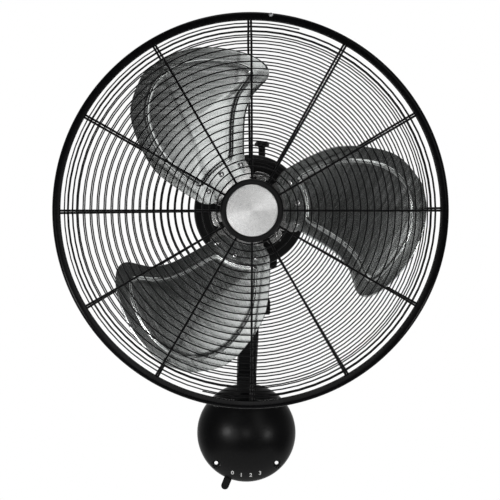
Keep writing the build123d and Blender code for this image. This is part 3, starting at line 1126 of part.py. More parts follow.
screw_turn = radians(RIM_SCREW_ANGLE)
screw_reach = RIM_RADIUS - RIM_SCREW_EDGE
rim_screw_place = (screw_reach * cos(screw_turn), screw_reach * sin(screw_turn))
with BuildPart() as rim_band:
    revolve(outline([
        (RIM_INNER_RADIUS, RIM_BACK_DEPTH), (RIM_RADIUS, RIM_BACK_DEPTH), (RIM_RADIUS, RIM_FRONT_DEPTH),
        (RIM_INNER_RADIUS, RIM_FRONT_DEPTH), (RIM_INNER_RADIUS, RIM_FRONT_DEPTH - RIM_WALL),
        (RIM_RADIUS - RIM_WALL, RIM_FRONT_DEPTH - RIM_WALL), (RIM_RADIUS - RIM_WALL, RIM_BACK_DEPTH + RIM_WALL),
        (RIM_INNER_RADIUS, RIM_BACK_DEPTH + RIM_WALL),
    ], radial(0)), axis=FAN_AXIS)
    screw_hole = disc(RIM_SCREW_RADIUS, facing(RIM_BACK_DEPTH), [rim_screw_place])
    extrude(screw_hole, RIM_WIDTH, mode=Mode.SUBTRACT)
finish(rim_band, "rim_band")

with BuildPart() as rim_screw:
    extrude(disc(RIM_SCREW_RADIUS, facing(RIM_BACK_DEPTH), [rim_screw_place]), RIM_WIDTH)
    extrude(disc(RIM_SCREW_HEAD_RADIUS, facing(RIM_FRONT_DEPTH), [rim_screw_place]), RIM_SCREW_HEAD_HEIGHT)
finish(rim_screw, "rim_screw")

# the plate lies behind the spokes' inner ends, which slope back towards it
spoke_back = line_depth(front_line, HOLDER_RADIUS) - WIRE_RADIUS - SPOKE_GAP - SPOKE_WIDTH
centre_back = spoke_back - SEAT_GAP
with BuildPart() as guard_centre_plate:
    extrude(disc(HOLDER_RADIUS, facing(centre_back - CENTRE_PLATE_THICKNESS)), CENTRE_PLATE_THICKNESS)
finish(guard_centre_plate, "guard_centre_plate")

holder_back = FRONT_CENTRE_DEPTH - WIRE_RADIUS
with BuildPart() as badge_holder:
    extrude(disc(HOLDER_RADIUS, facing(holder_back)), HOLDER_THICKNESS)
    recess = disc(BADGE_RADIUS + BADGE_GAP, facing(holder_back + HOLDER_THICKNESS - BADGE_THICKNESS))
    extrude(recess, BADGE_THICKNESS, mode=Mode.SUBTRACT)
finish(badge_holder, "badge_holder")

with BuildPart() as badge:
    extrude(disc(BADGE_RADIUS, facing(holder_back + HOLDER_THICKNESS - BADGE_THICKNESS)), BADGE_THICKNESS + BADGE_RISE)
finish(badge, "badge")
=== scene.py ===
"""Looks of a wall mounted fan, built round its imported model.

Sizes are in millimetres and angles in degrees until a mesh is made. X is to the right seen from
the front, Y goes into the wall and Z is up. Depth is the distance in front of the wall, that is -Y.
A form is a list of points and a list of faces.
"""

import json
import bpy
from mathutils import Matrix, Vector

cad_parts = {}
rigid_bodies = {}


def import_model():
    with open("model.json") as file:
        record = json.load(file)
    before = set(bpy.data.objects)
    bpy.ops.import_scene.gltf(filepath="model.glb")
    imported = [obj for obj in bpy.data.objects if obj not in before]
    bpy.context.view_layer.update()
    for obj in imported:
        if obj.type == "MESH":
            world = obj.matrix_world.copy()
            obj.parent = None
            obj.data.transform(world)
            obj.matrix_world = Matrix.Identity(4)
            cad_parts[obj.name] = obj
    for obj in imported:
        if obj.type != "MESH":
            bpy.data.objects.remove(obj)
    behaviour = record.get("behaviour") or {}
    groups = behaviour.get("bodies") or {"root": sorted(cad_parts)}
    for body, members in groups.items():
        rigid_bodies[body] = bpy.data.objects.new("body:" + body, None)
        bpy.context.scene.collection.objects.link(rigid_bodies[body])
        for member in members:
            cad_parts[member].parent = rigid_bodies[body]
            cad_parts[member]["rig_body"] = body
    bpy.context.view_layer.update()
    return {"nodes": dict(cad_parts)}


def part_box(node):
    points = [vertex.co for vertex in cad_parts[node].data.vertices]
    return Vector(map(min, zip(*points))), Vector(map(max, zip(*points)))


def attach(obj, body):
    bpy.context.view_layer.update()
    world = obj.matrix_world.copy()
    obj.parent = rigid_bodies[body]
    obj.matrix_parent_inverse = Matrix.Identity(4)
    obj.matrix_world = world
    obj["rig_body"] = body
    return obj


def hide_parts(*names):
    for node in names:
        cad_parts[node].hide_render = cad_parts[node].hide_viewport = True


bl_info = {
    "name": "Wall Mounted Fan",
    "version": (1, 0, 0),
    "blender": (4, 5, 0),
    "location": "3D View > Sidebar > Fan",
    "description": "Adds the finished pieces of a wall mounted fan to its packed model",
    "category": "Object",
}

from functools import partial
from math import cos, hypot, pi, radians, sin, sqrt

import bmesh
import bpy
from bpy.props import FloatProperty, FloatVectorProperty, IntProperty, PointerProperty
from mathutils import Matrix, Vector

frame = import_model()

MM = 0.001
FAN_HEIGHT = 338.0
TILT_DEPTH, TILT_HEIGHT = 140.0, 197.0
RIM_FRONT, RIM_BACK, RIM_INNER, RIM_OUTER = 278.0, 262.0, 268.5, 279.9
MOTOR_RADIUS = 79.95
BASE_RADIUS, DOME_DEPTH, SKIRT_DEPTH = 75.0, 52.0, 10.0
SPINDLE_X, SPINDLE_DEPTH = 20.0, 125.0
SHARP, BROKEN = 32, 30  # edges that turn by more degrees are drawn sharp, or get broken
JOIN_WITHIN = 1e-6
AXIS = 0.01  # radius that a turned form has on its axis
SHY, SHY_FACE = 0.05, 0.02  # how far pieces and their faces stay inside the CAD box
ROUNDING_SHARE = 0.49  # the most that a rounding takes of the edges beside it


# ------------------------------------------------------------------ places
def polar(radius, angle):
    """Flat place at a radius and angle."""
    return radius * cos(radians(angle)), radius * sin(radians(angle))


def at(radius, angle, depth):
    """Point at a radius and angle about the fan's axis."""
    x, z = polar(radius, angle)
    return Vector((x, -depth, FAN_HEIGHT + z))


def facing(depth, x=0.0, z=0.0):
    """Matrix of a flat drawing seen from the front, rising towards the viewer."""
    return Matrix(((1, 0, 0, x), (0, 0, -1, -depth), (0, 1, 0, z), (0, 0, 0, 1)))


def over_spindle(height):
    """Matrix of a flat drawing round the clutch spindle, rising upwards."""
    return Matrix.Translation((SPINDLE_X, -SPINDLE_DEPTH, height))


def across_tilt(x):
    """Matrix of a drawing of depth and height round the tilt axis, rising towards +X."""
    side = Matrix(((0, 0, 1, x), (-1, 0, 0, 0), (0, 1, 0, 0), (0, 0, 0, 1)))
    return side @ Matrix.Translation((TILT_DEPTH, TILT_HEIGHT, 0))


def box_depths(node):
    """Depths of a CAD node's back and front."""
    low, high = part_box(node)
    return -high.y / MM, -low.y / MM


ON_AXIS = facing(0, 0, FAN_HEIGHT)


# ------------------------------------------------------------------ forms
def skin(loops, count, ring=False):
    """Faces between loops of count points each; ring joins the last loop to the first."""
    faces = []
    for k in range(loops if ring else loops - 1):
        a, b = k * count, (k + 1) % loops * count
        for i in range(count):
            j = (i + 1) % count
            faces.append((a + i, a + j, b + j, b + i))
    return faces


def caps(loops, count):
    """Faces that close the first and the last loop."""
    return [tuple(range(count - 1, -1, -1)), tuple(range((loops - 1) * count, loops * count))]


def joined(*forms):
    """One form from several."""
    points, faces = [], []
    for form_points, form_faces in forms:
        start = len(points)
        points += form_points
        faces += [tuple(start + i for i in face) for face in form_faces]
    return points, faces


def moved(form, matrix):
    """A form put through a matrix."""
    return [matrix @ Vector(p) for p in form[0]], form[1]


def lathe(outline, matrix, segments):
    """Turned form: outline of (radius, rise) about the matrix's Z axis."""
    points = []
    for step in range(segments):
        turn = 2 * pi * step / segments
        points += [matrix @ Vector((r * cos(turn), r * sin(turn), h)) for r, h in outline]
    return points, skin(segments, len(outline), ring=True)


def prism(outline, height, matrix):
    """Straight-sided form over a flat outline."""
    points = [matrix @ Vector((x, y, h)) for h in (0, height) for x, y in outline]
    return points, caps(2, len(outline)) + skin(2, len(outline))


def sweep(path, section, up, closed=False):
    """Section of (side, rise) points carried along a path without twisting."""
    points = []
    count, total = len(section), len(path)
    up = Vector(up)
    for i, place in enumerate(path):
        if closed:
            along = (path[(i + 1) % total] - path[i - 1]).normalized()
        else:
            along = (path[min(i + 1, total - 1)] - path[max(i - 1, 0)]).normalized()
        up = (up - along * up.dot(along)).normalized()
        side = along.cross(up)
        points += [place + side * s + up * r for s, r in section]
    return points, skin(total, count, closed) + ([] if closed else caps(total, count))


def circle(radius, sides):
    """Outline of a circle round the middle."""
    return [(radius * cos(2 * pi * i / sides), radius * sin(2 * pi * i / sides))
            for i in range(sides)]


def rectangle(left, bottom, right, top):
    """Outline of a rectangle, from its lower left corner round."""
    return [(left, bottom), (right, bottom), (right, top), (left, top)]


def rounded(corners, radii, steps=5, closed=True):
    """Outline with each corner rounded by its radius, or all by the same."""
    if not hasattr(radii, "__len__"):
        radii = [radii] * len(corners)
    points = []
    count = len(corners)
    for i, corner in enumerate(corners):
        here = Vector(corner)
        if radii[i] <= 0 or (not closed and i in (0, count - 1)):
            points.append(here)
            continue
        before, after = Vector(corners[i - 1]) - here, Vector(corners[(i + 1) % count]) - here
        half = before.angle(after) / 2
        reach = min(radii[i] / max(sin(half) / cos(half), 1e-3),
                    before.length * ROUNDING_SHARE, after.length * ROUNDING_SHARE)
        start, end = here + before.normalized() * reach, here + after.normalized() * reach
        for step in range(steps + 1):
            t = step / steps
            points.append(start * (1 - t) ** 2 + here * 2 * t * (1 - t) + end * t ** 2)
    return [tuple(p) for p in points]


def profile(rows, steps=5):
    """Outline from rows of a corner's two places and its rounding."""
    return rounded([row[:2] for row in rows], [row[2] for row in rows], steps)


def smooth_loop(corners, steps):
    """Closed smooth curve through corners, steps points to each."""
    points, count = [], len(corners)
    for i in range(count):
        p0, p1, p2, p3 = (Vector(corners[(i + k) % count]) for k in (-1, 0, 1, 2))
        for step in range(steps):
            t = step / steps
            points.append(0.5 * ((2 * p1) + (p2 - p0) * t
                                 + (2 * p0 - 5 * p1 + 4 * p2 - p3) * t ** 2
                                 + (3 * p1 - p0 - 3 * p2 + p3) * t ** 3))
    return points


def form_of(curve):
    """The form that a filled curve or a text comes to."""
    holder = new_object(curve.name, curve)
    mesh = made_mesh(holder)
    form = [v.co.copy() for v in mesh.vertices], [tuple(f.vertices) for f in mesh.polygons]
    bpy.data.objects.remove(holder)
    bpy.data.curves.remove(curve)
    bpy.data.meshes.remove(mesh)
    return form


def plate(outline, thickness, edge, matrix, steps=3):
    """Flat plate over an outline of (x, y), with softly rounded edges."""
    curve = bpy.data.curves.new("plate", "CURVE")
    curve.dimensions, curve.fill_mode = "2D", "BOTH"
    curve.extrude, curve.offset = thickness / 2 - edge, -edge
    curve.bevel_depth, curve.bevel_resolution = edge, steps
    spline = curve.splines.new("POLY")
    spline.points.add(len(outline) - 1)
    for point, (x, y) in zip(spline.points, outline):
        point.co = (x, y, 0, 1)
    spline.use_cyclic_u = True
    return moved(form_of(curve), matrix @ Matrix.Translation((0, 0, thickness / 2)))


def grooved(outline, sides, beyond, depth):
    """Knob turned about Z, drawn in beyond a radius by the share that depth gives each step."""
    points, faces = lathe(outline, Matrix.Identity(4), sides)
    for i, point in enumerate(points):
        if hypot(point.x, point.y) > beyond:
            share = 1 - depth(i // len(outline))
            point.x *= share
            point.y *= share
    return points, faces


# ------------------------------------------------------------------ pieces
def new_object(name, data):
    """Object linked to the scene."""
    made = bpy.data.objects.new(name, data)
    bpy.context.scene.collection.objects.link(made)
    return made


def made_mesh(holder):
    """The mesh that an object comes to with its modifiers or its curve's thickness."""
    bpy.context.view_layer.update()
    view = bpy.context.evaluated_depsgraph_get()
    return bpy.data.meshes.new_from_object(holder.evaluated_get(view))


def raw_mesh(name, form):
    """Mesh in metres from a form in millimetres."""
    mesh = bpy.data.meshes.new(name)
    mesh.from_pydata([Vector(p) * MM for p in form[0]], [], form[1])
    return mesh


def opened(mesh):
    """A mesh laid open for work, its doubled points joined."""
    work = bmesh.new()
    work.from_mesh(mesh)
    bmesh.ops.remove_doubles(work, verts=work.verts, dist=JOIN_WITHIN)
    return work


def write_back(work, mesh):
    """Makes the work the mesh again."""
    work.to_mesh(mesh)
    work.free()


def sharpen(mesh, angle=SHARP):
    """Smooth shading that keeps the real edges."""
    work = bmesh.new()
    work.from_mesh(mesh)
    bmesh.ops.recalc_face_normals(work, faces=work.faces)
    for face in work.faces:
        face.smooth = True
    for edge in work.edges:
        edge.smooth = len(edge.link_faces) == 2 and edge.calc_face_angle(0) < radians(angle)
    write_back(work, mesh)


def dressed(piece, look, body, stands_for):
    """Gives a piece its finish, its body and the CAD nodes that it stands for."""
    piece.data.materials.append(finish(look))
    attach(piece, body)
    if stands_for:
        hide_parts(*stands_for)
    return piece


def new_piece(name, form, look, body, stands_for=(), slot=None, angle=SHARP):
    """Piece with the shape of a form."""
    mesh = raw_mesh(name, form)
    mesh.validate()
    sharpen(mesh, angle)
    return dressed(new_object(name, mesh), look, body, stands_for)


def turned(name, outline, segments, look, node, **more):
    """Piece on the head, its outline of (radius, depth) turned about the fan's axis."""
    return new_piece(name, lathe(outline, ON_AXIS, segments), look, "head", (node,), **more)


def settle(piece):
    """Makes a piece's modifiers part of its mesh."""
    made, old = made_mesh(piece), piece.data
    piece.modifiers.clear()
    piece.data = made
    bpy.data.meshes.remove(old)
    sharpen(made)


def carve(piece, cutter, operation="DIFFERENCE"):
    """Cuts a form out of a piece, or joins it on."""
    mesh = raw_mesh("cutter", cutter)
    work = opened(mesh)
    bmesh.ops.recalc_face_normals(work, faces=work.faces)
    write_back(work, mesh)
    tool = new_object("cutter", mesh)
    cut = piece.modifiers.new("cut", "BOOLEAN")
    cut.operation, cut.solver, cut.object = operation, "EXACT", tool
    settle(piece)
    bpy.data.objects.remove(tool)
    bpy.data.meshes.remove(mesh)


def soften(node, look, width):
    """A machined or moulded piece with its node's shape and broken outer edges."""
    source, name = frame["nodes"][node], node + "_finished"
    work = opened(source.data)
    bmesh.ops.dissolve_limit(work, angle_limit=radians(1), verts=work.verts, edges=work.edges)
    # only outer corners are broken, so bores and pockets keep their room
    weight = work.edges.layers.float.new("bevel_weight_edge")
    for edge in work.edges:
        if (len(edge.link_faces) == 2 and edge.is_convex
                and edge.calc_face_angle(0) > radians(BROKEN)):
            edge[weight] = 1
    mesh = bpy.data.meshes.new(name)
    write_back(work, mesh)
    for face in mesh.polygons:
        face.material_index = 0
    piece = new_object(name, mesh)
    bevel = piece.modifiers.new("edge", "BEVEL")
    bevel.width, bevel.segments, bevel.limit_method = width * MM, 2, "WEIGHT"
    bevel.use_clamp_overlap = True
    settle(piece)
    return dressed(piece, look, source["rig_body"], (node,))


# ------------------------------------------------------------------ finishes
class Finish:
    """A node material with one principled shader and a few helpers."""

    def __init__(self, name, colour, roughness, metallic=0.0, specular=0.5):
        self.colour = tuple(colour)
        self.material = bpy.data.materials.new(name)
        self.material.use_nodes = True
        self.material.diffuse_color = (*self.colour, 1)
        self.tree = self.material.node_tree
        self.shader = self.tree.nodes["Principled BSDF"]
        self.set("Base Color", (*self.colour, 1))
        self.set("Roughness", roughness)
        self.set("Metallic", metallic)
        self.set("Specular IOR Level", specular)

    def set(self, socket, value):
        self.shader.inputs[socket].default_value = value

    def link(self, source, target):
        self.tree.links.new(source, target)

    def node(self, kind, **values):
        """New node, with values for its inputs and settings by their names."""
        made = self.tree.nodes.new(kind)
        for key, value in values.items():
            if key in made.inputs:
                made.inputs[key].default_value = value
            else:
                setattr(made, key, value)
        return made

    def place(self, scale=(1, 1, 1), kind="Object"):
        """Texture place in metres, stretched by scale."""
        mapping = self.node("ShaderNodeMapping", Scale=scale)
        self.link(self.node("ShaderNodeTexCoord").outputs[kind], mapping.inputs["Vector"])
        return mapping.outputs["Vector"]

    def noise(self, scale, place=None, detail=3.0, rough=0.55):
        made = self.node("ShaderNodeTexNoise", Scale=scale, Detail=detail, Roughness=rough)
        self.link(place or self.place(), made.inputs["Vector"])
        return made.outputs["Fac"]

    def waves(self, **values):
        made = self.node("ShaderNodeTexWave", **values)
        self.link(self.place(), made.inputs["Vector"])
        return made.outputs["Fac"]

    def roughen(self, value, low, high):
        """Lets a value move the roughness between low and high."""
        limits = {"From Min": 0.3, "From Max": 0.7, "To Min": low, "To Max": high}
        made = self.node("ShaderNodeMapRange", **limits)
        self.link(value, made.inputs["Value"])
        self.link(made.outputs["Result"], self.shader.inputs["Roughness"])

    def blend(self, value, low, high, start=0.3, end=0.7):
        """Lets a value move the colour between low and high."""
        made = self.node("ShaderNodeValToRGB")
        for stop, place, colour in zip(made.color_ramp.elements, (start, end), (low, high)):
            stop.position, stop.color = place, (*colour, 1)
        self.link(value, made.inputs["Fac"])
        self.link(made.outputs["Color"], self.shader.inputs["Base Color"])

    def vary(self, value, spread, start=0.3, end=0.7):
        """Lets a value move the colour to both sides of the finish's own."""
        low, high = ([c + way * s for c, s in zip(self.colour, spread)] for way in (-1, 1))
        self.blend(value, low, high, start, end)

    def bump(self, height, strength, distance):
        made = self.node("ShaderNodeBump", Strength=strength, Distance=distance * MM)
        self.link(height, made.inputs["Height"])
        self.link(made.outputs["Normal"], self.shader.inputs["Normal"])

    def brush(self, strength, turn, **direction):
        """Draws reflections out along the brushing."""
        self.set("Anisotropic", strength)
        self.set("Anisotropic Rotation", turn)
        tangent = self.node("ShaderNodeTangent", **direction)
        self.link(tangent.outputs["Tangent"], self.shader.inputs["Tangent"])


def powder_coat():
    coat = Finish("satin_powder_coat", settings("colours").coat, 0.38, specular=0.13)
    grain = coat.noise(900, detail=2)
    coat.roughen(coat.noise(40, detail=4), 0.32, 0.46)
    coat.vary(grain, (0.0015, 0.0015, 0.00165))
    coat.bump(grain, 0.25, 0.12)
    return coat


def rim_coat():
    coat = Finish("gloss_rim_coat", settings("colours").rim, 0.16, specular=0.3)
    coat.set("IOR", 1.25)
    peel = coat.noise(260, detail=2)
    coat.roughen(coat.noise(30, detail=5), 0.13, 0.22)
    coat.vary(peel, (0.001, 0.001, 0.00115))
    coat.bump(peel, 0.2, 0.05)
    return coat


def moulded(name, colour, low, high, grain_scale, grain_depth):
    """Plastic or rubber with a fine moulded grain."""
    made = Finish(name, colour, (low + high) / 2, specular=0.2)
    grain = made.noise(grain_scale)
    made.roughen(made.noise(25, detail=5), low, high)
    made.blend(grain, made.colour, [min(1, c * 1.35 + 0.002) for c in made.colour])
    made.bump(grain, 0.3, grain_depth)
    return made


def dome_plastic():
    return moulded("moulded_dome", settings("colours").moulding, 0.27, 0.36, 1400, 0.03)


def natural_nylon():
    made = moulded("natural_nylon", (0.72, 0.69, 0.6), 0.35, 0.5, 600, 0.05)
    made.set("Subsurface Weight", 0.2)
    made.set("Subsurface Scale", 0.002)
    return made


def blade_metal():
    """Bright rolled aluminium, brushed along the blade."""
    metal = Finish("brushed_blade_aluminium", settings("colours").blade, 0.22, metallic=1.0)
    strokes = metal.noise(1.0, metal.place((12, 330, 1), "UV"), rough=0.6)
    metal.roughen(strokes, 0.17, 0.27)
    metal.vary(strokes, (0.115, 0.11, 0.115), 0.35, 0.68)
    metal.bump(strokes, 0.02, 0.03)
    metal.brush(0.35, 0.0, direction_type="UV_MAP", uv_map="brushing")
    return metal


def badge_metal():
    """Spun aluminium: fine circular turning marks."""
    metal = Finish("spun_aluminium", settings("colours").badge, 0.32, metallic=1.0)
    split = metal.node("ShaderNodeSeparateXYZ")
    metal.link(metal.place(), split.inputs[0])
    height = metal.node("ShaderNodeMath", operation="SUBTRACT")
    metal.link(split.outputs["Z"], height.inputs[0])
    height.inputs[1].default_value = FAN_HEIGHT * MM
    flat = metal.node("ShaderNodeCombineXYZ")
    metal.link(split.outputs["X"], flat.inputs["X"])
    metal.link(height.outputs[0], flat.inputs["Y"])
    radius = metal.node("ShaderNodeVectorMath", operation="LENGTH")
    metal.link(flat.outputs[0], radius.inputs[0])
    rings = metal.node("ShaderNodeTexNoise", noise_dimensions="1D", Scale=5200, Detail=3)
    metal.link(radius.outputs["Value"], rings.inputs["W"])
    metal.roughen(rings.outputs["Fac"], 0.24, 0.4)
    metal.vary(metal.noise(300), (0.06, 0.06, 0.06))
    metal.bump(rings.outputs["Fac"], 0.15, 0.02)
    metal.brush(0.75, 0.25, direction_type="RADIAL", axis="Y")
    return metal


def steel(name, colour, low, high, streak):
    """Bare or plated metal with fine marks, streak giving their scale each way."""
    metal = Finish(name, colour, (low + high) / 2, metallic=1.0)
    marks = metal.noise(1.0, metal.place(streak), detail=5, rough=0.65)
    metal.roughen(marks, low, high)
    metal.blend(metal.noise(45, detail=5), [c * 0.8 for c in metal.colour], metal.colour)
    metal.bump(marks, 0.15, 0.02)
    return metal


def lamination():
    """Stacked sheets: fine lines across the depth."""
    metal = Finish("stacked_laminations", (0.22, 0.22, 0.23), 0.45, metallic=0.8)
    lines = metal.waves(wave_type="BANDS", bands_direction="Y", Scale=320, Distortion=0.4)
    metal.blend(lines, (0.1, 0.1, 0.105), (0.3, 0.3, 0.31))
    metal.bump(lines, 0.5, 0.1)
    return metal


def winding():
    """Enamelled wire lying in turns."""
    wire = Finish("enamelled_winding", (0.45, 0.17, 0.06), 0.25, metallic=0.9)
    wire.set("Coat Weight", 0.6)
    wire.set("Coat Roughness", 0.1)
    turns = wire.waves(wave_type="RINGS", rings_direction="Y", Scale=190, Distortion=1.5, Detail=2)
    wire.blend(turns, (0.2, 0.06, 0.02), (0.62, 0.26, 0.1), 0.2, 0.8)
    wire.bump(turns, 0.7, 0.3)
    return wire


# colour, lowest and highest roughness, scale and depth of the grain
MOULDINGS = {
    "satin": ("moulded_satin", (0.003, 0.003, 0.0032), 0.36, 0.5, 900, 0.08),
    "case": ("grained_case", (0.004, 0.004, 0.0042), 0.45, 0.6, 700, 0.2),
    "holder": ("badge_holder_satin", (0.0022, 0.0022, 0.0024), 0.3, 0.42, 1100, 0.05),
    "rubber": ("grommet_rubber", (0.02, 0.02, 0.02), 0.6, 0.8, 500, 0.15),
    "capacitor": ("capacitor_case", (0.5, 0.5, 0.51), 0.3, 0.45, 500, 0.05),
    "switch": ("switch_case", (0.12, 0.12, 0.125), 0.4, 0.55, 800, 0.08),
    "print": ("printed_grey", (0.62, 0.62, 0.61), 0.5, 0.6, 900, 0.01),
}
# colour, lowest and highest roughness, scale of the marks along X, Y and Z
STEELS = {
    "bright": ("pressed_bright_steel", (0.72, 0.72, 0.71), 0.16, 0.3, (150, 150, 150)),
    "zinc": ("zinc_plate", (0.55, 0.56, 0.57), 0.28, 0.45, (400, 400, 400)),
    "ground": ("ground_steel", (0.6, 0.6, 0.61), 0.14, 0.26, (30, 900, 30)),
    "rivet": ("rivet_aluminium", (0.8, 0.8, 0.8), 0.18, 0.3, (300, 300, 300)),
}
FINISH_MAKERS = {
    "coat": powder_coat, "rim": rim_coat, "dome": dome_plastic, "nylon": natural_nylon,
    "blade": blade_metal, "badge": badge_metal, "lamination": lamination, "winding": winding,
    **{look: partial(moulded, *values) for look, values in MOULDINGS.items()},
    **{look: partial(steel, *values) for look, values in STEELS.items()},
}
# the material of each look, kept once it is made
finishes = {}


def finish(look):
    """The material of a look, made the first time it is asked for."""
    if look not in finishes:
        finishes[look] = FINISH_MAKERS[look]().material
    return finishes[look]


# ------------------------------------------------------------------ what a user may change
class GuardSizes(bpy.types.PropertyGroup):
    wire: FloatProperty(
        name="Wire", description="Diameter of the spiral wire",
        default=1.9 * MM, min=0.001, max=0.0026, unit="LENGTH")
    spoke: FloatProperty(
        name="Spoke", description="Diameter of a spoke",
        default=3.2 * MM, min=0.001, max=0.004, unit="LENGTH")
    pitch: FloatProperty(
        name="Pitch", description="Distance between turns of the spiral",
        default=9.9 * MM, min=0.006, max=0.02, unit="LENGTH")
    steps: IntProperty(
        name="Steps", description="Steps in each turn of the spiral", default=72, min=24, max=144)


class BladeSizes(bpy.types.PropertyGroup):
    thickness: FloatProperty(
        name="Sheet", description="Thickness of the blade sheet",
        default=1.6 * MM, min=0.0008, max=0.002, unit="LENGTH")
    bead: FloatProperty(
        name="Bead", description="Height of the stamped bead",
        default=1.5 * MM, min=0.0, max=0.003, unit="LENGTH")
    bead_inset: FloatProperty(
        name="Bead inset", description="Distance of the bead from the blade's edge",
        default=18.2 * MM, min=0.008, max=0.03, unit="LENGTH")
    lip: FloatProperty(
        name="Lip", description="How far the margin outside the bead leans back",
        default=1.6 * MM, min=0.0, max=0.003, unit="LENGTH")
    crown: FloatProperty(
        name="Crown", description="Height of the shallow crown inside the bead",
        default=2.3 * MM, min=0.0, max=0.003, unit="LENGTH")


class FinishColours(bpy.types.PropertyGroup):
    coat: FloatVectorProperty(
        name="Coat", description="Satin coat on the guard and arm",
        default=(0.004, 0.004, 0.00435), size=3, subtype="COLOR", min=0, max=1)
    rim: FloatVectorProperty(
        name="Rim", description="Gloss coat on the guard's outer ring",
        default=(0.003, 0.003, 0.00335), size=3, subtype="COLOR", min=0, max=1)
    moulding: FloatVectorProperty(
        name="Moulding", description="Plastic of the base",
        default=(0.0022, 0.0022, 0.0024), size=3, subtype="COLOR", min=0, max=1)
    blade: FloatVectorProperty(
        name="Blade", description="Metal of the blades",
        default=(0.605, 0.625, 0.615), size=3, subtype="COLOR", min=0, max=1)
    badge: FloatVectorProperty(
        name="Badge", description="Metal of the badge",
        default=(0.8, 0.8, 0.795), size=3, subtype="COLOR", min=0, max=1)


class StudioSettings(bpy.types.PropertyGroup):
    softbox: FloatProperty(
        name="Softboxes", description="Brightness of the softboxes", default=1.0, min=0)
    fill: FloatProperty(
        name="Fill", description="Strength of the even light from all round", default=0.5, min=0)
    dark: FloatProperty(
        name="Dark room", description="Brightness of the room in reflections",
        default=0.02, min=0)
    azimuth: FloatProperty(
        name="Azimuth", description="Side from which the camera looks",
        default=radians(-1.45), subtype="ANGLE")
    elevation: FloatProperty(
        name="Elevation", description="Height of the camera's view",
        default=radians(0.9), subtype="ANGLE")
    distance: FloatProperty(
        name="Distance", description="Camera to the guard's ring",
        default=3.4, min=1, unit="LENGTH")


GROUPS = {"guard": GuardSizes, "blades": BladeSizes, "colours": FinishColours,
          "studio": StudioSettings}


def settings(key):
    """A group of what the user may change."""
    return getattr(bpy.context.scene, "fan_" + key)


# ------------------------------------------------------------------ guard
# (radius, depth) of each basket's wires at the middle, the shoulder and the rim
FRONT_LINE = ((40.0, 334.0), (243.0, 303.0), (264.5, 274.5))
REAR_LINE = ((56.0, 247.0), (243.0, 244.0), (264.5, 266.5))
SHOULDER, WIRE_SHORT = 3.0, 0.2
SPOKE_COUNT, SPOKE_STEPS, SPOKE_BEND, SPOKE_SHORT, SPOKE_END = 12, 26, 6, 3.2, 272.6
HOOP_RADIUS, HOOP_WIRE, HOOP_STEPS = 273.0, 2.0, 144


def line_depth(line, radius):
    """Depth of a basket's wires at a radius, smoothly bent at the shoulder."""
    (r0, d0), (r1, d1), (r2, d2) = line
    inner, outer = (d1 - d0) / (r1 - r0), (d2 - d1) / (r2 - r1)
    first, second = d0 + inner * (radius - r0), d1 + outer * (radius - r1)
    way = -1 if outer < inner else 1
    apart = (second - first) * way
    lift = (apart + sqrt(apart * apart + SHOULDER * SHOULDER)) / 2
    return first + way * lift - way * SHOULDER * 0.25


def line_slope(line, radius):
    """Depth gained for each millimetre outwards."""
    return (line_depth(line, radius + 1) - line_depth(line, radius - 1)) / 2


def spiral_path(line, start, start_angle):
    """Points of the wire from its start near the hub out to the rim."""
    sizes = settings("guard")
    pitch = sizes.pitch / MM
    path, radius, turn = [], start, start_angle
    while radius < line[2][0] - WIRE_SHORT:
        path.append(at(radius, turn, line_depth(line, radius)))
        radius += pitch / sizes.steps / sqrt(1 + line_slope(line, radius) ** 2)
        turn -= 360 / sizes.steps
    return path


def spoke_path(line, inward, angle, hoop_depth, inner):
    """Points of a spoke that lies against the wires and runs out to the hoop."""
    sizes = settings("guard")
    step = inward * (sizes.wire + sizes.spoke) / MM / 2
    along = [(inner, line_depth(line, inner) + step)]
    for i in range(1, SPOKE_STEPS + 1):
        radius = inner + (line[2][0] - SPOKE_SHORT - inner) * i / SPOKE_STEPS
        slope = line_slope(line, radius)
        away = step / sqrt(1 + slope * slope)
        along.append((radius - away * slope, line_depth(line, radius) + away))
    along.append((SPOKE_END, hoop_depth))
    bends = [0] + [SPOKE_BEND] * (len(along) - 2) + [0]
    return [at(r, angle, d) for r, d in rounded(along, bends, 3, closed=False)]


def basket(name, line, inward, start, start_angle, inner, turn, hoop_depth):
    """One guard: its spiral wire, the spokes welded to it and the hoop that the rim grips."""
    sizes, up = settings("guard"), (0, -1, 0)
    wire, spoke = sizes.wire / MM / 2, sizes.spoke / MM / 2
    parts = [sweep(spiral_path(line, start, start_angle), circle(wire, 8), up)]
    for index in range(SPOKE_COUNT):
        path = spoke_path(line, inward, turn + index * 360 / SPOKE_COUNT, hoop_depth, inner)
        parts.append(sweep(path, circle(spoke, 10), up))
    hoop = [at(HOOP_RADIUS, a * 360 / HOOP_STEPS, hoop_depth) for a in range(HOOP_STEPS)]
    parts.append(sweep(hoop, circle(HOOP_WIRE, 10), up, closed=True))
    return new_piece(name + "_wires", joined(*parts), "coat", "head", (name,), angle=60)


class FAN_OT_front_guard(bpy.types.Operator):
    """Adds the domed front basket of spiral wire and spokes"""

    bl_idname = "fan.front_guard"
    bl_label = "Front guard"

    def execute(self, context):
        basket("front_guard", FRONT_LINE, inward=-1, start=45.5, start_angle=-45.0, inner=40.5,
               turn=0.0, hoop_depth=274.2)
        return {"FINISHED"}


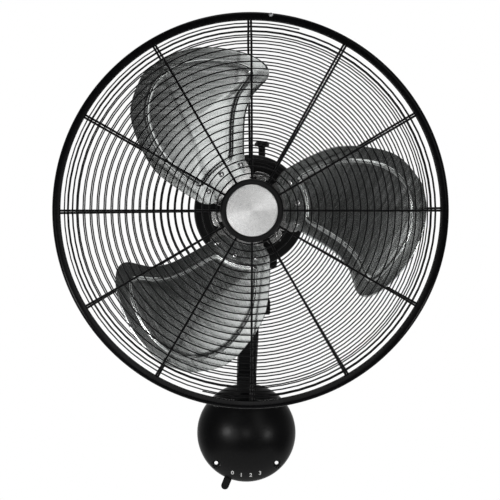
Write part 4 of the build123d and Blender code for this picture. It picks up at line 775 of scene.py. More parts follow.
class FAN_OT_rear_guard(bpy.types.Operator):
    """Adds the flat rear basket and the ring that it stands on"""

    bl_idname = "fan.rear_guard"
    bl_label = "Rear guard"

    def execute(self, context):
        basket("rear_guard", REAR_LINE, inward=1, start=82.0, start_angle=0.0, inner=58.0,
               turn=0.75, hoop_depth=265.9)
        back, front = box_depths("guard_mount_ring")
        seat = rounded(rectangle(44.1, back, 69.6, front), 1.2, 4)
        turned("guard_seat", seat, 96, "coat", "guard_mount_ring")
        return {"FINISHED"}


class FAN_OT_rim_band(bpy.types.Operator):
    """Adds the gloss channel ring that holds both baskets, with its clamp"""

    bl_idname = "fan.rim_band"
    bl_label = "Rim band"

    def execute(self, context):
        back, front = RIM_BACK + 0.1, RIM_FRONT - SHY
        rear_web, front_web, channel = RIM_BACK + 1.6, RIM_FRONT - 1.6, RIM_OUTER - 1.7
        outline = profile((
            (RIM_INNER, back, 0.7), (RIM_OUTER, back, 5.0), (RIM_OUTER, front, 5.6),
            (RIM_INNER, front, 1.6), (RIM_INNER, front_web, 0.3), (channel, front_web, 3.6),
            (channel, rear_web, 3.2), (RIM_INNER, rear_web, 0.3)), 9)
        turned("rim_ring", outline, 288, "rim", "rim_band", angle=50)
        soften("rim_screw", "zinc", 0.3)
        return {"FINISHED"}


# ------------------------------------------------------------------ blades
ROLL_RADIUS, ROLL_POINT, ROLL_DEPTH = 450.0, (150.0, 5.0), 281.0
ROLL_PITCH, ROLL_SKEW = 14.0, 42.5
# (angle, radius) of the points that the outline runs through
BLADE_EDGE = (
    (-21, 56), (-23.5, 84), (-25.2, 112), (-27, 137), (-30.4, 160), (-34.6, 176), (-37.1, 187),
    (-37.6, 197), (-36.0, 207), (-32, 216), (-27, 223.5), (-20, 232), (-13, 240), (-6, 245),
    (0, 247), (5, 245.4), (10, 241), (20, 220), (28, 187), (36.5, 149), (42, 114), (48.5, 79),
    (51, 67), (50, 57), (45.5, 51.5), (40, 50), (15, 49), (-10, 50), (-18, 51.5),
)
EDGE_STEPS, BRUSHING = 8, 60
BEAD_ROOT, BEAD_HALF_WIDTH, BEAD_ROUNDING, BEAD_BLEND = 60.0, 3.0, 24, 5.0
MARGIN_RINGS, BEAD_RINGS, PANEL_RINGS, BISECTIONS = 12, 11, 17, 18
RIVET_CIRCLE, RIVET_ANGLES = 66.0, (-17.0, 9.5, 36.0)
RIVET_RADIUS, RIVET_RISE, RIVET_ROOT, RIVET_SEAT = 3.9, 1.7, 3.0, 0.8


class Roll:
    """The surface that the blade sheets are rolled to."""

    def __init__(self):
        turn, pitch, skew = radians(ROLL_POINT[1]), radians(ROLL_PITCH), radians(ROLL_SKEW)
        out, across = Vector((cos(turn), 0, sin(turn))), Vector((-sin(turn), 0, cos(turn)))
        ahead = Vector((0, -1, 0))
        climb = across * cos(pitch) + ahead * sin(pitch)
        self.axis = out * cos(skew) + climb * sin(skew)
        normal = ahead * cos(pitch) - across * sin(pitch)
        self.centre = at(0, 0, ROLL_DEPTH) + out * ROLL_POINT[0] + normal * ROLL_RADIUS
        self.ahead = ahead - self.axis * ahead.dot(self.axis)

    def touch(self, x, z):
        """Point of the sheet's middle in front of (x, z), and the normal there."""
        sight = Vector((x, 0, FAN_HEIGHT + z)) - self.centre
        square = sight - self.axis * sight.dot(self.axis)
        a, b = self.ahead.dot(self.ahead), square.dot(self.ahead)
        depth = (-b - sqrt(b * b - a * (square.dot(square) - ROLL_RADIUS ** 2))) / a
        normal = -(square + self.ahead * depth).normalized()
        return Vector((x, -depth, FAN_HEIGHT + z)), normal


def bell(value):
    """Rounded bump over -1 to 1."""
    return (1 + cos(pi * max(-1.0, min(1.0, value)))) / 2


def edge_distance(place, edge):
    """Shortest way from a flat place to a closed outline."""
    best = 1e9
    for i, b in enumerate(edge):
        a = edge[i - 1]
        ab = b - a
        t = max(0.0, min(1.0, (place - a).dot(ab) / ab.length_squared))
        best = min(best, (place - a - ab * t).length)
    return best


def bead_reach(place, edge):
    """Distance that the bead keeps from the edge and, near the root, from the rivets."""
    away = edge_distance(place, edge)
    above = place.length - BEAD_ROOT
    share = max(0.0, min(1.0, 0.5 + (above - away) / (2 * BEAD_BLEND)))
    return above * (1 - share) + away * share - BEAD_BLEND * share * (1 - share)


def bead_line(edge, middle, inset):
    """The bead's middle line, found on the way from the blade's middle to each edge point."""
    coarse, line = edge[::2], []
    for place in edge:
        low, high = 0.0, 1.0
        for _ in range(BISECTIONS):
            share = (low + high) / 2
            if bead_reach(middle + (place - middle) * share, coarse) > inset:
                low = share
            else:
                high = share
        line.append(middle + (place - middle) * low)
    for _ in range(BEAD_ROUNDING):
        line = [(line[i - 1] + line[i] * 2 + line[(i + 1) % len(line)]) / 4
                for i in range(len(line))]
    return line


def blade_rings(edge, middle, bead, inset, lip, crown):
    """Rings of flat places from the edge in, each with its rise over the rolled sheet."""
    line = bead_line(edge, middle, inset)
    half_bead = []
    for i, place in enumerate(edge):
        along = (line[(i + 1) % len(line)] - line[i - 1]).normalized()
        out = (place - middle).normalized()
        slant = max(abs(out.x * along.y - out.y * along.x), 0.35)
        half_bead.append(out * BEAD_HALF_WIDTH / slant)
    rings = []
    for step in range(MARGIN_RINGS):
        t = (step / (MARGIN_RINGS - 1)) ** 0.8
        places = [e + (l + h - e) * t for e, l, h in zip(edge, line, half_bead)]
        rings.append((places, -lip * (1 - t) ** 1.3))
    for step in range(1, BEAD_RINGS + 1):
        t = 1 - 2 * step / BEAD_RINGS
        rings.append(([l + h * t for l, h in zip(line, half_bead)], bead * bell(t)))
    for step in range(1, PANEL_RINGS):
        t = 1 - step / PANEL_RINGS
        places = [middle + (l - h - middle) * t for l, h in zip(line, half_bead)]
        rings.append((places, crown * (1 - t * t)))
    return rings


def blade_form():
    """Both faces and the rounded edge of the blade at angle 0."""
    sizes = settings("blades")
    half = sizes.thickness / MM / 2
    edge = smooth_loop([polar(r, a) for a, r in BLADE_EDGE], EDGE_STEPS)
    middle = Vector(polar(*ROLL_POINT))
    rings = blade_rings(edge, middle, sizes.bead / MM, sizes.bead_inset / MM, sizes.lip / MM,
                        sizes.crown / MM)
    roll, count = Roll(), len(edge)
    front, back = [], []
    for ring, rise in rings:
        for place in ring:
            point, normal = roll.touch(place.x, place.y)
            front.append(point + normal * (half + rise))
            back.append(point + normal * (rise - half))
    points, under, faces = front + back, len(front), []
    for a, b, c, d in skin(len(rings), count):
        faces += [(a, b, c, d), (under + b, under + a, under + d, under + c)]
    inner = under - count
    for side in (0, under):
        points.append(sum(points[side + inner:side + under], Vector()) / count)
    start = len(points)
    for i in range(count):
        j = (i + 1) % count
        out = (edge[i] - middle).normalized()
        rim = (points[i] + points[under + i]) / 2
        points.append(rim + Vector((out.x, 0, out.y)) * half * 0.7)
        faces += [(inner + i, inner + j, start - 2),
                  (under + inner + j, under + inner + i, start - 1),
                  (i, start + i, start + j, j), (start + i, under + i, under + j, start + j)]
    return points, faces


def spun(form, angle):
    """A form turned about the fan's axis."""
    up = Matrix.Translation((0, 0, FAN_HEIGHT))
    return moved(form, up @ Matrix.Rotation(radians(angle), 4, (0, -1, 0)) @ up.inverted())


class FAN_OT_blades(bpy.types.Operator):
    """Adds the three stamped aluminium blades"""

    bl_idname = "fan.blades"
    bl_label = "Blades"

    def execute(self, context):
        flat, along = blade_form(), Vector(polar(1, BRUSHING))
        across = Vector((-along.y, along.x))
        for index in range(3):
            name = f"blade_{index + 1}"
            piece = new_piece(name + "_sheet", spun(flat, index * 120), "blade", "rotor",
                              (name,), angle=50)
            brushing = piece.data.uv_layers.new(name="brushing")
            for loop in piece.data.loops:
                x, _, z = flat[0][loop.vertex_index]
                place = Vector((x, z - FAN_HEIGHT)) * MM
                brushing.data[loop.index].uv = place.dot(along), place.dot(across)
        return {"FINISHED"}


# ------------------------------------------------------------------ carrier
TAB_EDGE = ((-62, 14), (-34, 50), (-25, 73), (9.5, 78.5), (44, 73), (50, 50), (95, 14))
TAB_CENTRE, TAB_ROUNDING = (45, 8), 7
TAB_GAP = (1.6 + 2.5) / 2 + 0.1  # half of the blade and the tab, and the gap between them
# share of the outline and rise of each loop round a tab's edge
TAB_LOOPS = ((0.965, 1.2), (0.985, 1.1), (1.0, 0.6), (1.0, -0.6), (0.985, -1.1), (0.965, -1.2))
DISC_BACK, DISC_FRONT, DISC_RADIUS = 275.1, 277.4, 47.9
BOSS = (5.0, 262.1, 21.9, 311.9)
LOBE_ANGLE, LOBE_START, LOBE_LEAN, LOBE_LIFT = 72, 40, 7, 1.0
LOBE = ((0, -11.9, 0), (14.5, -11.9, 5), (16.8, 0, 30), (14.5, 11.9, 5), (0, 11.9, 0))
LOBE_MIDDLE = ((-4, -7, 0), (10, -7, 4), (12, 0, 20), (10, 7, 4), (-4, 7, 0))


def tab_form(roll):
    """The flat tab behind a blade's root, level with the blade at its middle rivet."""
    outline = rounded([polar(r, a) for a, r in TAB_EDGE], TAB_ROUNDING, 6)
    seat, normal = roll.touch(*polar(RIVET_CIRCLE, RIVET_ANGLES[1]))
    ahead, centre = Vector((0, -1, 0)), Vector(TAB_CENTRE)
    points = []
    for share, rise in TAB_LOOPS:
        anchor = seat + normal * (rise - TAB_GAP)
        for place in outline:
            x, z = centre + (Vector(place) - centre) * share
            base = Vector((x, 0, FAN_HEIGHT + z))
            points.append(base + ahead * ((anchor - base).dot(normal) / normal.dot(ahead)))
    loops, count = len(TAB_LOOPS), len(outline)
    return points, skin(loops, count) + caps(loops, count)


def rivet_head():
    """Low rounded head about Z."""
    outline = [(AXIS, RIVET_RISE)]
    for angle in range(15, 91, 15):
        out, up = sin(radians(angle)), cos(radians(angle))
        outline.append((RIVET_RADIUS * out, RIVET_RISE * (0.35 + 0.65 * up)))
    outline += [(RIVET_RADIUS, 0.0), (AXIS, -RIVET_ROOT)]
    return lathe(outline, Matrix.Identity(4), 24)


class FAN_OT_blade_carrier(bpy.types.Operator):
    """Adds the pressed spider that carries the blades, its rivets and nut"""

    bl_idname = "fan.blade_carrier"
    bl_label = "Blade carrier"

    def execute(self, context):
        roll = Roll()
        tab, head = tab_form(roll), rivet_head()
        tabs, rivets, lobes = [], [], []
        for index in range(3):
            tabs.append(spun(tab, index * 120))
            for angle in RIVET_ANGLES:
                place, up = roll.touch(*polar(RIVET_CIRCLE, angle))
                tip = up.to_track_quat("Z", "X").to_matrix().to_4x4()
                seated = moved(head, Matrix.Translation(place + up * RIVET_SEAT) @ tip)
                rivets.append(spun(seated, index * 120))
            turn = Matrix.Rotation(radians(LOBE_ANGLE + index * 120), 4, "Z")
            out = Matrix.Translation((LOBE_START, 0, 0))
            lean = Matrix.Rotation(radians(LOBE_LEAN), 4, "Y")
            lobe = facing(DISC_BACK, 0, FAN_HEIGHT) @ turn @ out @ lean
            lobes.append(plate(profile(LOBE, 6), 2.3, 0.9, lobe, 4))
            lift = Matrix.Translation((0, 0, LOBE_LIFT))
            lobes.append(plate(profile(LOBE_MIDDLE, 6), 2.4, 1.15, lobe @ lift, 8))
        boss = lathe(rounded(rectangle(*BOSS), 2.0), ON_AXIS, 72)
        disc = lathe(rounded(rectangle(20.0, DISC_BACK, DISC_RADIUS, DISC_FRONT),
                             [0, 0.9, 1.0, 0], 4), ON_AXIS, 120)
        new_piece("carrier_disc", disc, "coat", "rotor")
        new_piece("blade_spider", joined(boss, *tabs, *lobes), "bright", "rotor",
                  ("blade_carrier",))
        new_piece("rivet_heads", joined(*rivets), "rivet", "rotor", ("blade_rivets",))
        soften("hub_nut", "zinc", 0.6)
        return {"FINISHED"}


# ------------------------------------------------------------------ badge
HOLDER_RADIUS, SEAT_RADIUS, SEAT_DROP = 43.9, 36.4, 1.4
BADGE_RADIUS, BADGE_FLAT, BADGE_DOME, BADGE_RINGS = 35.9, 34.6, 0.28, 24


class FAN_OT_badge(bpy.types.Operator):
    """Adds the plain spun badge, its holder and the plate behind the spokes"""

    bl_idname = "fan.badge"
    bl_label = "Badge"

    def execute(self, context):
        back, front = box_depths("badge_holder")
        back, top, seat = back + SHY, front - SHY_FACE, front - SEAT_DROP
        holder = profile((
            (AXIS, back, 0), (HOLDER_RADIUS, back, 1.0), (HOLDER_RADIUS, seat, 1.4),
            (41.5, top, 0.8), (36.6, top, 0.3), (SEAT_RADIUS, seat, 0), (AXIS, seat, 0)), 6)
        turned("holder_ring", holder, 144, "holder", "badge_holder")
        back, front = box_depths("badge")
        back += SHY_FACE
        face = [(AXIS, back), (35.7, back), (BADGE_RADIUS, front - 0.9), (35.3, front - 0.35)]
        for i in range(BADGE_RINGS):
            share = 1 - i / BADGE_RINGS
            face.append((BADGE_FLAT * share, front - 0.3 + BADGE_DOME * (1 - share ** 2)))
        face.append((AXIS, front - SHY_FACE))
        turned("badge_disc", face, 192, "badge", "badge", angle=20)
        back, front = box_depths("guard_centre_plate")
        centre = rounded(rectangle(6, back, HOLDER_RADIUS, front), 0.4, 3)
        turned("centre_plate", centre, 96, "coat", "guard_centre_plate")
        return {"FINISHED"}


# ------------------------------------------------------------------ motor and gearbox
WAIST_RADIUS, COVER_INNER, SEAM = MOTOR_RADIUS - 0.8, 78, (196.95, 197.05)
# (radius, depth, rounding) of each corner
FRONT_CASTING = (
    (7, 242.95, 0.3), (24, 242.95, 0.8), (26, 240.4, 0.8), (58, 240.4, 0.8), (61, 242.95, 0.8),
    (70.5, 242.95, 3), (MOTOR_RADIUS, 234, 4), (MOTOR_RADIUS, SEAM[1], 0.6), (76, SEAM[1], 0.3),
    (76, 231, 2), (66, 238.2, 2), (7, 238.2, 0.3),
)
REAR_CASTING = (
    (7, 150.05, 0.3), (MOTOR_RADIUS, 150.05, 0.6), (MOTOR_RADIUS, 155, 0.5),
    (WAIST_RADIUS, 156, 0.5), (WAIST_RADIUS, 191, 0.5), (MOTOR_RADIUS, 192, 0.5),
    (MOTOR_RADIUS, SEAM[0], 0.6), (76, SEAM[0], 0.3), (76, 154, 1), (7, 154, 0.3),
)
REAR_COVER = (
    (AXIS, 66.05, 0), (67.5, 66.05, 7), (MOTOR_RADIUS, 78.5, 6), (MOTOR_RADIUS, 149.9, 0.5),
    (COVER_INNER, 149.9, 0.5), (COVER_INNER, 79.5, 5), (67, 68.2, 5), (AXIS, 68.2, 0),
)
VENTS, VENT_INNER, VENT_OUTER, VENT_HALF, VENT_ROUNDING = 14, 26, 58, 2, 1.95
# seen from above, the room that the cover leaves for the gearbox, and how far it reaches down
GEARBOX_ROOM, ROOM_FOOT, ROOM_HEIGHT = (-16.3, -173.5, 41.7, -73.5), FAN_HEIGHT - 120, 92
SPINDLE_HOLE = 5.4


class FAN_OT_motor(bpy.types.Operator):
    """Adds the cast motor shells and the vented rear cover"""

    bl_idname = "fan.motor"
    bl_label = "Motor"

    def execute(self, context):
        turned("motor_front_casting", profile(FRONT_CASTING), 144, "coat", "motor_front_shell")
        turned("motor_rear_casting", profile(REAR_CASTING, 4), 144, "coat", "motor_rear_shell")
        cover = turned("rear_cover_shell", profile(REAR_COVER, 8), 144, "satin", "rear_cover",
                       slot="cover_black")
        vent = rectangle(VENT_INNER, -VENT_HALF, VENT_OUTER, VENT_HALF)
        vent = rounded(vent, VENT_ROUNDING)
        for index in range(VENTS):
            turn = Matrix.Rotation(index * 2 * pi / VENTS, 4, "Z")
            carve(cover, prism(vent, 8, facing(62, 0, FAN_HEIGHT) @ turn))
        room = Matrix.Translation((0, 0, ROOM_FOOT))
        carve(cover, prism(rectangle(*GEARBOX_ROOM), ROOM_HEIGHT, room))
        carve(cover, prism(circle(SPINDLE_HOLE, 32), 60, over_spindle(FAN_HEIGHT + 40)))
        soften("guard_screws", "zinc", 0.4)
        return {"FINISHED"}


class FAN_OT_gearbox(bpy.types.Operator):
    """Adds the gearbox case, its lid and screws, and the swing linkage"""

    bl_idname = "fan.gearbox"
    bl_label = "Gearbox"

    def execute(self, context):
        for node, look, width in (
            ("gearbox_case", "case", 0.8), ("gearbox_lid", "case", 0.6),
            ("lid_screws", "zinc", 0.35), ("pivot_post", "ground", 0.4),
            ("crank_arm", "zinc", 0.5), ("swing_link", "zinc", 0.5),
        ):
            soften(node, look, width)
        return {"FINISHED"}


STEM_RADIUS, ROD_RADIUS, ROD_FOOT, PULL_RADIUS = 5.1, 1.95, 353, 10.85
RIB_SIDES, RIB_INNER, RIB_DEPTH = 96, 8.6, 0.035


class FAN_OT_clutch_knob(bpy.types.Operator):
    """Adds the pull knob on top of the head"""

    bl_idname = "fan.clutch_knob"
    bl_label = "Clutch knob"

    def execute(self, context):
        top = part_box("clutch_knob")[1].z / MM
        head, neck, foot, crown = top - 7.4, top - 8.6, top - 30, top - SHY_FACE
        stem = profile(((AXIS, foot, 0), (STEM_RADIUS, foot, 0.3), (STEM_RADIUS, neck, 1.5),
                        (7.0, head + 0.1, 0), (AXIS, head + 0.1, 0)), 4)
        knob = profile(((AXIS, head, 0), (PULL_RADIUS, head, 0.8), (PULL_RADIUS, top - 3.4, 1.2),
                        (8.0, crown, 2.2), (AXIS, crown, 0)))
        ribbed = grooved(knob, RIB_SIDES, RIB_INNER,
                         lambda step: RIB_DEPTH * (1 + cos(pi * step / 2)) / 2)
        rod, place = rectangle(AXIS, ROD_FOOT, ROD_RADIUS, foot + 0.1), over_spindle(0)
        parts = lathe(stem, place, 48), moved(ribbed, place), lathe(rod, place, 24)
        new_piece("pull_knob", joined(*parts), "satin", "clutch_knob", ("clutch_knob",),
                  "knob_black")
        return {"FINISHED"}


# ------------------------------------------------------------------ arm and tilt joint
ARM_LINE = ((0, -14.0, 27.0), (0, -19.0, 92.0), (0, -132.0, 155.0), (0, -140.0, 189.0))
ARM_BEND, ARM_STEP, ARM_HALF, ARM_THIN = 23.4, 6, 14.9, 7.9
FORK_GAP, FORK_EDGE, FORK_REACH, EYE_RADIUS, BOLT_HOLE = 18.7, 14.6, 60, 13.9, 4.06
FOOT_HALF, FOOT_HEIGHT, FOOT_SHEET = (22.9, 21.9), 36, 4.0
KNOB_RADIUS, KNOB_INNER, FLUTES, FLUTE_DEPTH, KNOB_SIDES = 11.6, 8.5, 10, 0.12, 160


class FAN_OT_arm(bpy.types.Operator):
    """Adds the bent arm with its fork, foot and screws"""

    bl_idname = "fan.arm"
    bl_label = "Arm"

    def execute(self, context):
        path = [Vector(p) for p in rounded(ARM_LINE, ARM_BEND, 14, closed=False)]
        spread = path[:1]
        for point in path[1:]:
            for _ in range(int((point - spread[-1]).length // ARM_STEP)):
                spread.append(spread[-1] + (point - spread[-1]).normalized() * ARM_STEP)
            if (point - spread[-1]).length > 0.5:
                spread.append(point)
        section = rounded(rectangle(-ARM_HALF, -ARM_THIN, ARM_HALF, ARM_THIN), 4.5, 6)
        piece = new_piece("bent_arm", sweep(spread, section, (0, -1, 0.2)), "coat", "base",
                          ("arm",))
        eye = rounded(rectangle(AXIS, -ARM_HALF, EYE_RADIUS, ARM_HALF), [0, 1.6, 1.6, 0])
        carve(piece, lathe(eye, across_tilt(0), 72), "UNION")
        width, height = FOOT_HALF
        foot = rounded(rectangle(-width, -height, width, height), 4, 6)
        carve(piece, plate(foot, FOOT_SHEET, 0.6, facing(2.05, 0, FOOT_HEIGHT)), "UNION")
        neck = rectangle(-14.8, -7.8, 14.8, 7.8)
        carve(piece, prism(neck, 14, facing(3.5, 0, FOOT_HEIGHT)), "UNION")
        for back, front in ((-FORK_REACH, FORK_EDGE), (-FORK_EDGE, FORK_REACH)):
            gap = rectangle(back, -FORK_EDGE, front, FORK_REACH)
            carve(piece, prism(gap, FORK_GAP, across_tilt(-FORK_GAP / 2)))
        carve(piece, prism(circle(BOLT_HOLE, 40), 40, across_tilt(-20)))
        soften("arm_screws", "zinc", 0.35)
        return {"FINISHED"}


class FAN_OT_tilt_joint(bpy.types.Operator):
    """Adds the tilt bracket, its knob, bolt and nut"""

    bl_idname = "fan.tilt_joint"
    bl_label = "Tilt joint"

    def execute(self, context):
        for node, look, width in (
            ("tilt_bracket", "coat", 0.8), ("pivot_lock_screw", "zinc", 0.4),
            ("rocker_pin", "ground", 0.3), ("tilt_nut", "zinc", 0.5), ("tilt_bolt", "zinc", 0.4),
        ):
            soften(node, look, width)
        low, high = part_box("tilt_knob")
        start, end, hollow = low.x / MM + SHY, high.x / MM - SHY_FACE, high.x / MM - 0.9
        knob = profile((
            (4.0, start, 0), (KNOB_RADIUS, start, 0.8), (KNOB_RADIUS, end - 1.18, 1.0),
            (9.6, end, 0.8), (6.0, end, 0.4), (5.4, hollow, 0.4), (AXIS, hollow, 0)), 4)
        wave = 2 * pi * FLUTES / KNOB_SIDES
        fluted = grooved(knob, KNOB_SIDES, KNOB_INNER,
                         lambda step: FLUTE_DEPTH * max(0.0, cos(wave * step)) ** 2)
        new_piece("tilt_hand_knob", moved(fluted, across_tilt(0)), "satin", "tilt_knob",
                  ("tilt_knob",), "knob_black", 40)
        return {"FINISHED"}


# ------------------------------------------------------------------ wall base
DOME_WALL, DOME_RINGS, WALL_GAP, EDGE_INNER, EDGE_DROP = 2.6, 40, 0.4, 70.0, 1.1
SCREW_PLACE, POCKET_RADIUS, POCKET_DEPTH = 46, 6.4, 9.5
# (radius, depth) of the wall round each screw hole
POST = ((2.85, 2.2), (7.4, 2.2), (7.4, 15), (5.5, 15), (5.5, 7.0), (2.85, 7.0))
DIAL = (("0", 20.1), ("1", 7.6), ("2", -5.6), ("3", -18.7))
DIAL_RADIUS, NUMBER_SIZE, NUMBER_WEIGHT, NUMBER_RISE = 63, 8.4, 0.22, 0.14
LEVER_REACH, LEVER_ANGLE, LEVER_TIP, LEVER_EYE, LEVER_SHEET = 87, 22, 5.9, 8.9, 3.0


def dome_depth(radius):
    """Depth of the dome's outside at a radius from its middle."""
    rise = DOME_DEPTH - SKIRT_DEPTH
    ball = (BASE_RADIUS ** 2 + rise ** 2) / (2 * rise)
    return DOME_DEPTH - ball + sqrt(ball * ball - radius * radius)


class FAN_OT_base(bpy.types.Operator):
    """Adds the domed wall base with its screw pockets and lever slot"""

    bl_idname = "fan.base"
    bl_label = "Wall base"

    def execute(self, context):
        skirt, inner, top = BASE_RADIUS - SHY, BASE_RADIUS - DOME_WALL, BASE_RADIUS - 0.6
        outline = [(skirt, WALL_GAP), (skirt, 6.0)]
        for i in range(DOME_RINGS + 1):
            radius = top * (1 - i / DOME_RINGS)
            near = max(0.0, (radius - EDGE_INNER) / (top - EDGE_INNER))
            depth = dome_depth(radius) - SHY - EDGE_DROP * near ** 3
            outline.append((max(radius, AXIS), depth))
        outline.append((AXIS, DOME_DEPTH - DOME_WALL))
        for i in range(1, 13):
            radius = inner * i / 12
            outline.append((radius, dome_depth(radius) - DOME_WALL))
        outline.append((inner, WALL_GAP))
        dome = new_piece("dome_shell", lathe(outline, facing(0), 192), "dome", "base",
                         ("base_dome",), angle=40)
        lip = dome_depth(hypot(SCREW_PLACE, SCREW_PLACE)) - 4.5
        sleeve = [(5.5, 6.9), (5.5, lip), (6.9, lip + 0.5), (6.9, 6.9)]
        for side, x in (("l", -SCREW_PLACE), ("r", SCREW_PLACE)):
            for end, z in (("low", -SCREW_PLACE), ("top", SCREW_PLACE)):
                pocket = circle(POCKET_RADIUS, 48)
                carve(dome, prism(pocket, 60, facing(POCKET_DEPTH, x, z)))
                carve(dome, lathe(POST, facing(0, x, z), 40), "UNION")
                new_piece(f"screw_pocket_{side}{end}", lathe(sleeve, facing(0, x, z), 48),
                          "dome", "base")
        slot = [(0, -30)] + [polar(86, a - 90) for a in range(28, -29, -4)]
        carve(dome, prism(slot, 5.0, facing(3.0)))
        return {"FINISHED"}


class FAN_OT_numbers(bpy.types.Operator):
    """Prints the speed numbers on the dome"""

    bl_idname = "fan.numbers"
    bl_label = "Speed numbers"

    def execute(self, context):
        parts = []
        for label, angle in DIAL:
            text = bpy.data.curves.new("number", "FONT")
            text.body, text.align_x, text.align_y = label, "CENTER", "CENTER"
            text.size, text.offset = NUMBER_SIZE, NUMBER_WEIGHT
            flat, faces = form_of(text)
            centre = Vector(polar(-DIAL_RADIUS, 90 - angle))
            points = []
            for place in flat:
                x, z = centre + place.xy
                points.append(Vector((x, -dome_depth(hypot(x, z)) - NUMBER_RISE, z)))
            parts.append((points, faces))
        new_piece("speed_numbers", joined(*parts), "print", "base")
        return {"FINISHED"}


class FAN_OT_speed_lever(bpy.types.Operator):
    """Adds the speed lever that shows under the dome"""

    bl_idname = "fan.speed_lever"
    bl_label = "Speed lever"

    def execute(self, context):
        along = Vector(polar(-1, 90 - LEVER_ANGLE))
        side = Vector((-along.y, along.x))
        outline = []
        for i in range(17):
            a = pi * i / 16 - pi / 2
            reach = LEVER_REACH + LEVER_TIP * cos(a)
            outline.append(along * reach + side * LEVER_TIP * sin(a))
        for i in range(25):
            a = radians(42 + 276 * i / 24)
            outline.append((side * sin(a) + along * cos(a)) * LEVER_EYE)
        blade = plate(outline, LEVER_SHEET, 0.7, facing(4.0), 4)
        shaft = rounded(rectangle(AXIS, 6.9, 2.95, 15.9), [0, 0, 0.5, 0], 3)
        shaft = lathe(shaft, facing(0), 32)
        new_piece("lever_blade", joined(blade, shaft), "satin", "speed_lever", ("speed_lever",),
                  "lever_black")
        return {"FINISHED"}


# ------------------------------------------------------------------ inner pieces and studio
INNER_LOOKS = {
    "zinc": ("wall_plate", "tilt_washer"),
    "ground": ("shaft_bearings", "motor_shaft", "clutch_spindle"),
    "nylon": ("pivot_spacer", "worm_wheel", "output_gear"),
    "lamination": ("stator_core", "rotor_core"),
    "winding": ("stator_windings",), "capacitor": ("run_capacitor",),
    "rubber": ("cable_grommet",), "switch": ("switch_body",),
}
# aim, azimuth, height, distance, width and length, brightness
LIGHTS = {
    "softbox_right": ("fan", 30, 19, 2.2, (0.6, 1.4), 1.7),
    "softbox_left": ("fan", -33, -11, 2.2, (1.15, 0.9), 1.3),
    "low_card": ("fan", 27, -29, 2.2, (0.5, 0.4), 0.2),
    "lamp_left": ("dome", -41, 2, 0.95, (0.18, 0.18), 13.5),
    "lamp_right": ("dome", 44, -3, 0.95, (0.18, 0.18), 9.0),
    "front_panel": ("fan", 0, -5, 4.2, (1.0, 1.0), 2.5),
    "top_light": ("fan", 0, 80, 2.0, (1.2, 1.2), 1.5),
}
AIMS = {"fan": Vector((0.0, -0.28, 0.34)), "dome": Vector((0.0, -0.05, 0.0))}
CAMERA_TARGET = Vector((-0.0012, -0.27, 0.2824))
VIEW_WIDTH, SENSOR = 0.7059, 36
FLOOR, FLOOR_HEIGHT, PALE_WALL = (-2, -1.7, 2, 1.6), -1.3, 0.9


class FAN_OT_inner_finishes(bpy.types.Operator):
    """Gives the carried-over pieces inside the fan their finishes"""

    bl_idname = "fan.inner_finishes"
    bl_label = "Inner finishes"

    def execute(self, context):
        for look, nodes in INNER_LOOKS.items():
            for node in nodes:
                for holder in frame["nodes"][node].material_slots:
                    holder.material = finish(look)
        return {"FINISHED"}


def stand(name, data, target, azimuth, height, distance):
    """Light or camera that looks at a target from an azimuth and a height in radians."""
    way = Vector((sin(azimuth) * cos(height), -cos(azimuth) * cos(height), sin(height)))
    made = new_object(name, data)
    made.location = target + way * distance
    made.rotation_mode = "QUATERNION"
    made.rotation_quaternion = (-way).to_track_quat("-Z", "Y")
    return made


def surround(scene, fill, dark):
    """World of even light, white to the eye, that reflections see as a dark room."""
    scene.world = bpy.data.worlds.new("studio")
    scene.world.use_nodes = True
    nodes, links = scene.world.node_tree.nodes, scene.world.node_tree.links
    nodes.clear()

    def background(strength):
        made = nodes.new("ShaderNodeBackground")
        made.inputs["Color"].default_value = (1, 1, 1, 1)
        made.inputs["Strength"].default_value = strength
        return made.outputs[0]

    def join(made, *sources):
        for source, socket in zip(sources, made.inputs):
            links.new(source, socket)
        return made.outputs[0]

    rays = nodes.new("ShaderNodeLightPath").outputs
    way = nodes.new("ShaderNodeSeparateXYZ")
    join(way, nodes.new("ShaderNodeTexCoord").outputs["Generated"])
    # the wall behind the fan is pale in reflections too
    behind = nodes.new("ShaderNodeMapRange")
    join(behind, way.outputs["Y"])
    behind.inputs["From Min"].default_value = 0.1
    behind.inputs["From Max"].default_value = 0.4
    direct = nodes.new("ShaderNodeMath")
    direct.operation = "MAXIMUM"
    join(direct, rays["Is Camera Ray"], rays["Is Transmission Ray"])
    mirrored = join(nodes.new("ShaderNodeMixShader"), behind.outputs["Result"],
                    background(dark), background(PALE_WALL))
    room = join(nodes.new("ShaderNodeMixShader"), rays["Is Glossy Ray"], background(fill),
                mirrored)
    seen = join(nodes.new("ShaderNodeMixShader"), direct.outputs[0], room, background(1.0))
    links.new(seen, nodes.new("ShaderNodeOutputWorld").inputs["Surface"])


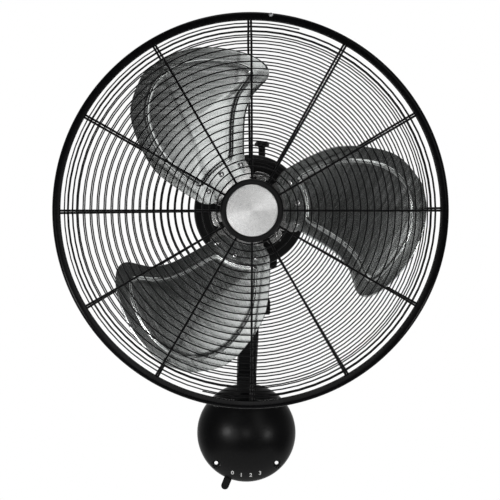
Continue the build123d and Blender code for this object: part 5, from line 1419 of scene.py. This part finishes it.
class FAN_OT_stage(bpy.types.Operator):
    """Adds the floor, the soft lights, the pale surroundings and the camera"""

    bl_idname = "fan.stage"
    bl_label = "Stage"

    def execute(self, context):
        scene, studio = context.scene, settings("studio")
        scene.view_settings.view_transform = "Standard"
        mesh = bpy.data.meshes.new("floor")
        corners = [(x, y, FLOOR_HEIGHT) for x, y in rectangle(*FLOOR)]
        mesh.from_pydata(corners, [], [(0, 1, 2, 3)])
        pale = Finish("pale_floor", (0.82, 0.82, 0.82), 0.7)
        pale.vary(pale.noise(3, detail=4), (0.02, 0.02, 0.02))
        mesh.materials.append(pale.material)
        floor = new_object("floor", mesh)
        surround(scene, studio.fill, studio.dark)
        for name, (aim, azimuth, height, distance, size, radiance) in LIGHTS.items():
            light = bpy.data.lights.new(name, "AREA")
            light.shape = "RECTANGLE"
            light.size, light.size_y = size
            light.energy = radiance * studio.softbox * pi * size[0] * size[1]
            stand(name, light, AIMS[aim], radians(azimuth), radians(height), distance)
        camera = bpy.data.cameras.new("camera")
        camera.lens = SENSOR * studio.distance / VIEW_WIDTH
        camera.clip_start, camera.clip_end = 0.1, 30
        scene.camera = stand("camera", camera, CAMERA_TARGET, studio.azimuth, studio.elevation,
                             studio.distance)
        return {"FINISHED"}


OPERATORS = (
    FAN_OT_front_guard, FAN_OT_rear_guard, FAN_OT_rim_band, FAN_OT_blades, FAN_OT_blade_carrier,
    FAN_OT_badge, FAN_OT_motor, FAN_OT_gearbox, FAN_OT_clutch_knob, FAN_OT_arm,
    FAN_OT_tilt_joint, FAN_OT_base, FAN_OT_numbers, FAN_OT_speed_lever, FAN_OT_inner_finishes,
    FAN_OT_stage,
)


class FAN_PT_panel(bpy.types.Panel):
    """Sizes, colours and the buttons that add each piece"""

    bl_idname = "FAN_PT_panel"
    bl_label = "Wall Mounted Fan"
    bl_space_type = "VIEW_3D"
    bl_region_type = "UI"
    bl_category = "Fan"

    def draw(self, context):
        for key in GROUPS:
            box, group = self.layout.box(), settings(key)
            box.label(text=key.capitalize())
            for value in group.__annotations__:
                box.prop(group, value)
        for operator in OPERATORS:
            self.layout.operator(operator.bl_idname)


def register():
    for key, group in GROUPS.items():
        bpy.utils.register_class(group)
        setattr(bpy.types.Scene, "fan_" + key, PointerProperty(type=group))
    for kind in (*OPERATORS, FAN_PT_panel):
        bpy.utils.register_class(kind)


def unregister():
    for kind in (FAN_PT_panel, *reversed(OPERATORS)):
        bpy.utils.unregister_class(kind)
    for key, group in reversed(GROUPS.items()):
        delattr(bpy.types.Scene, "fan_" + key)
        bpy.utils.unregister_class(group)


def main():
    register()
    for operator in OPERATORS:
        call = bpy.ops
        for word in operator.bl_idname.split("."):
            call = getattr(call, word)
        call()


if __name__ == "__main__":
    main()
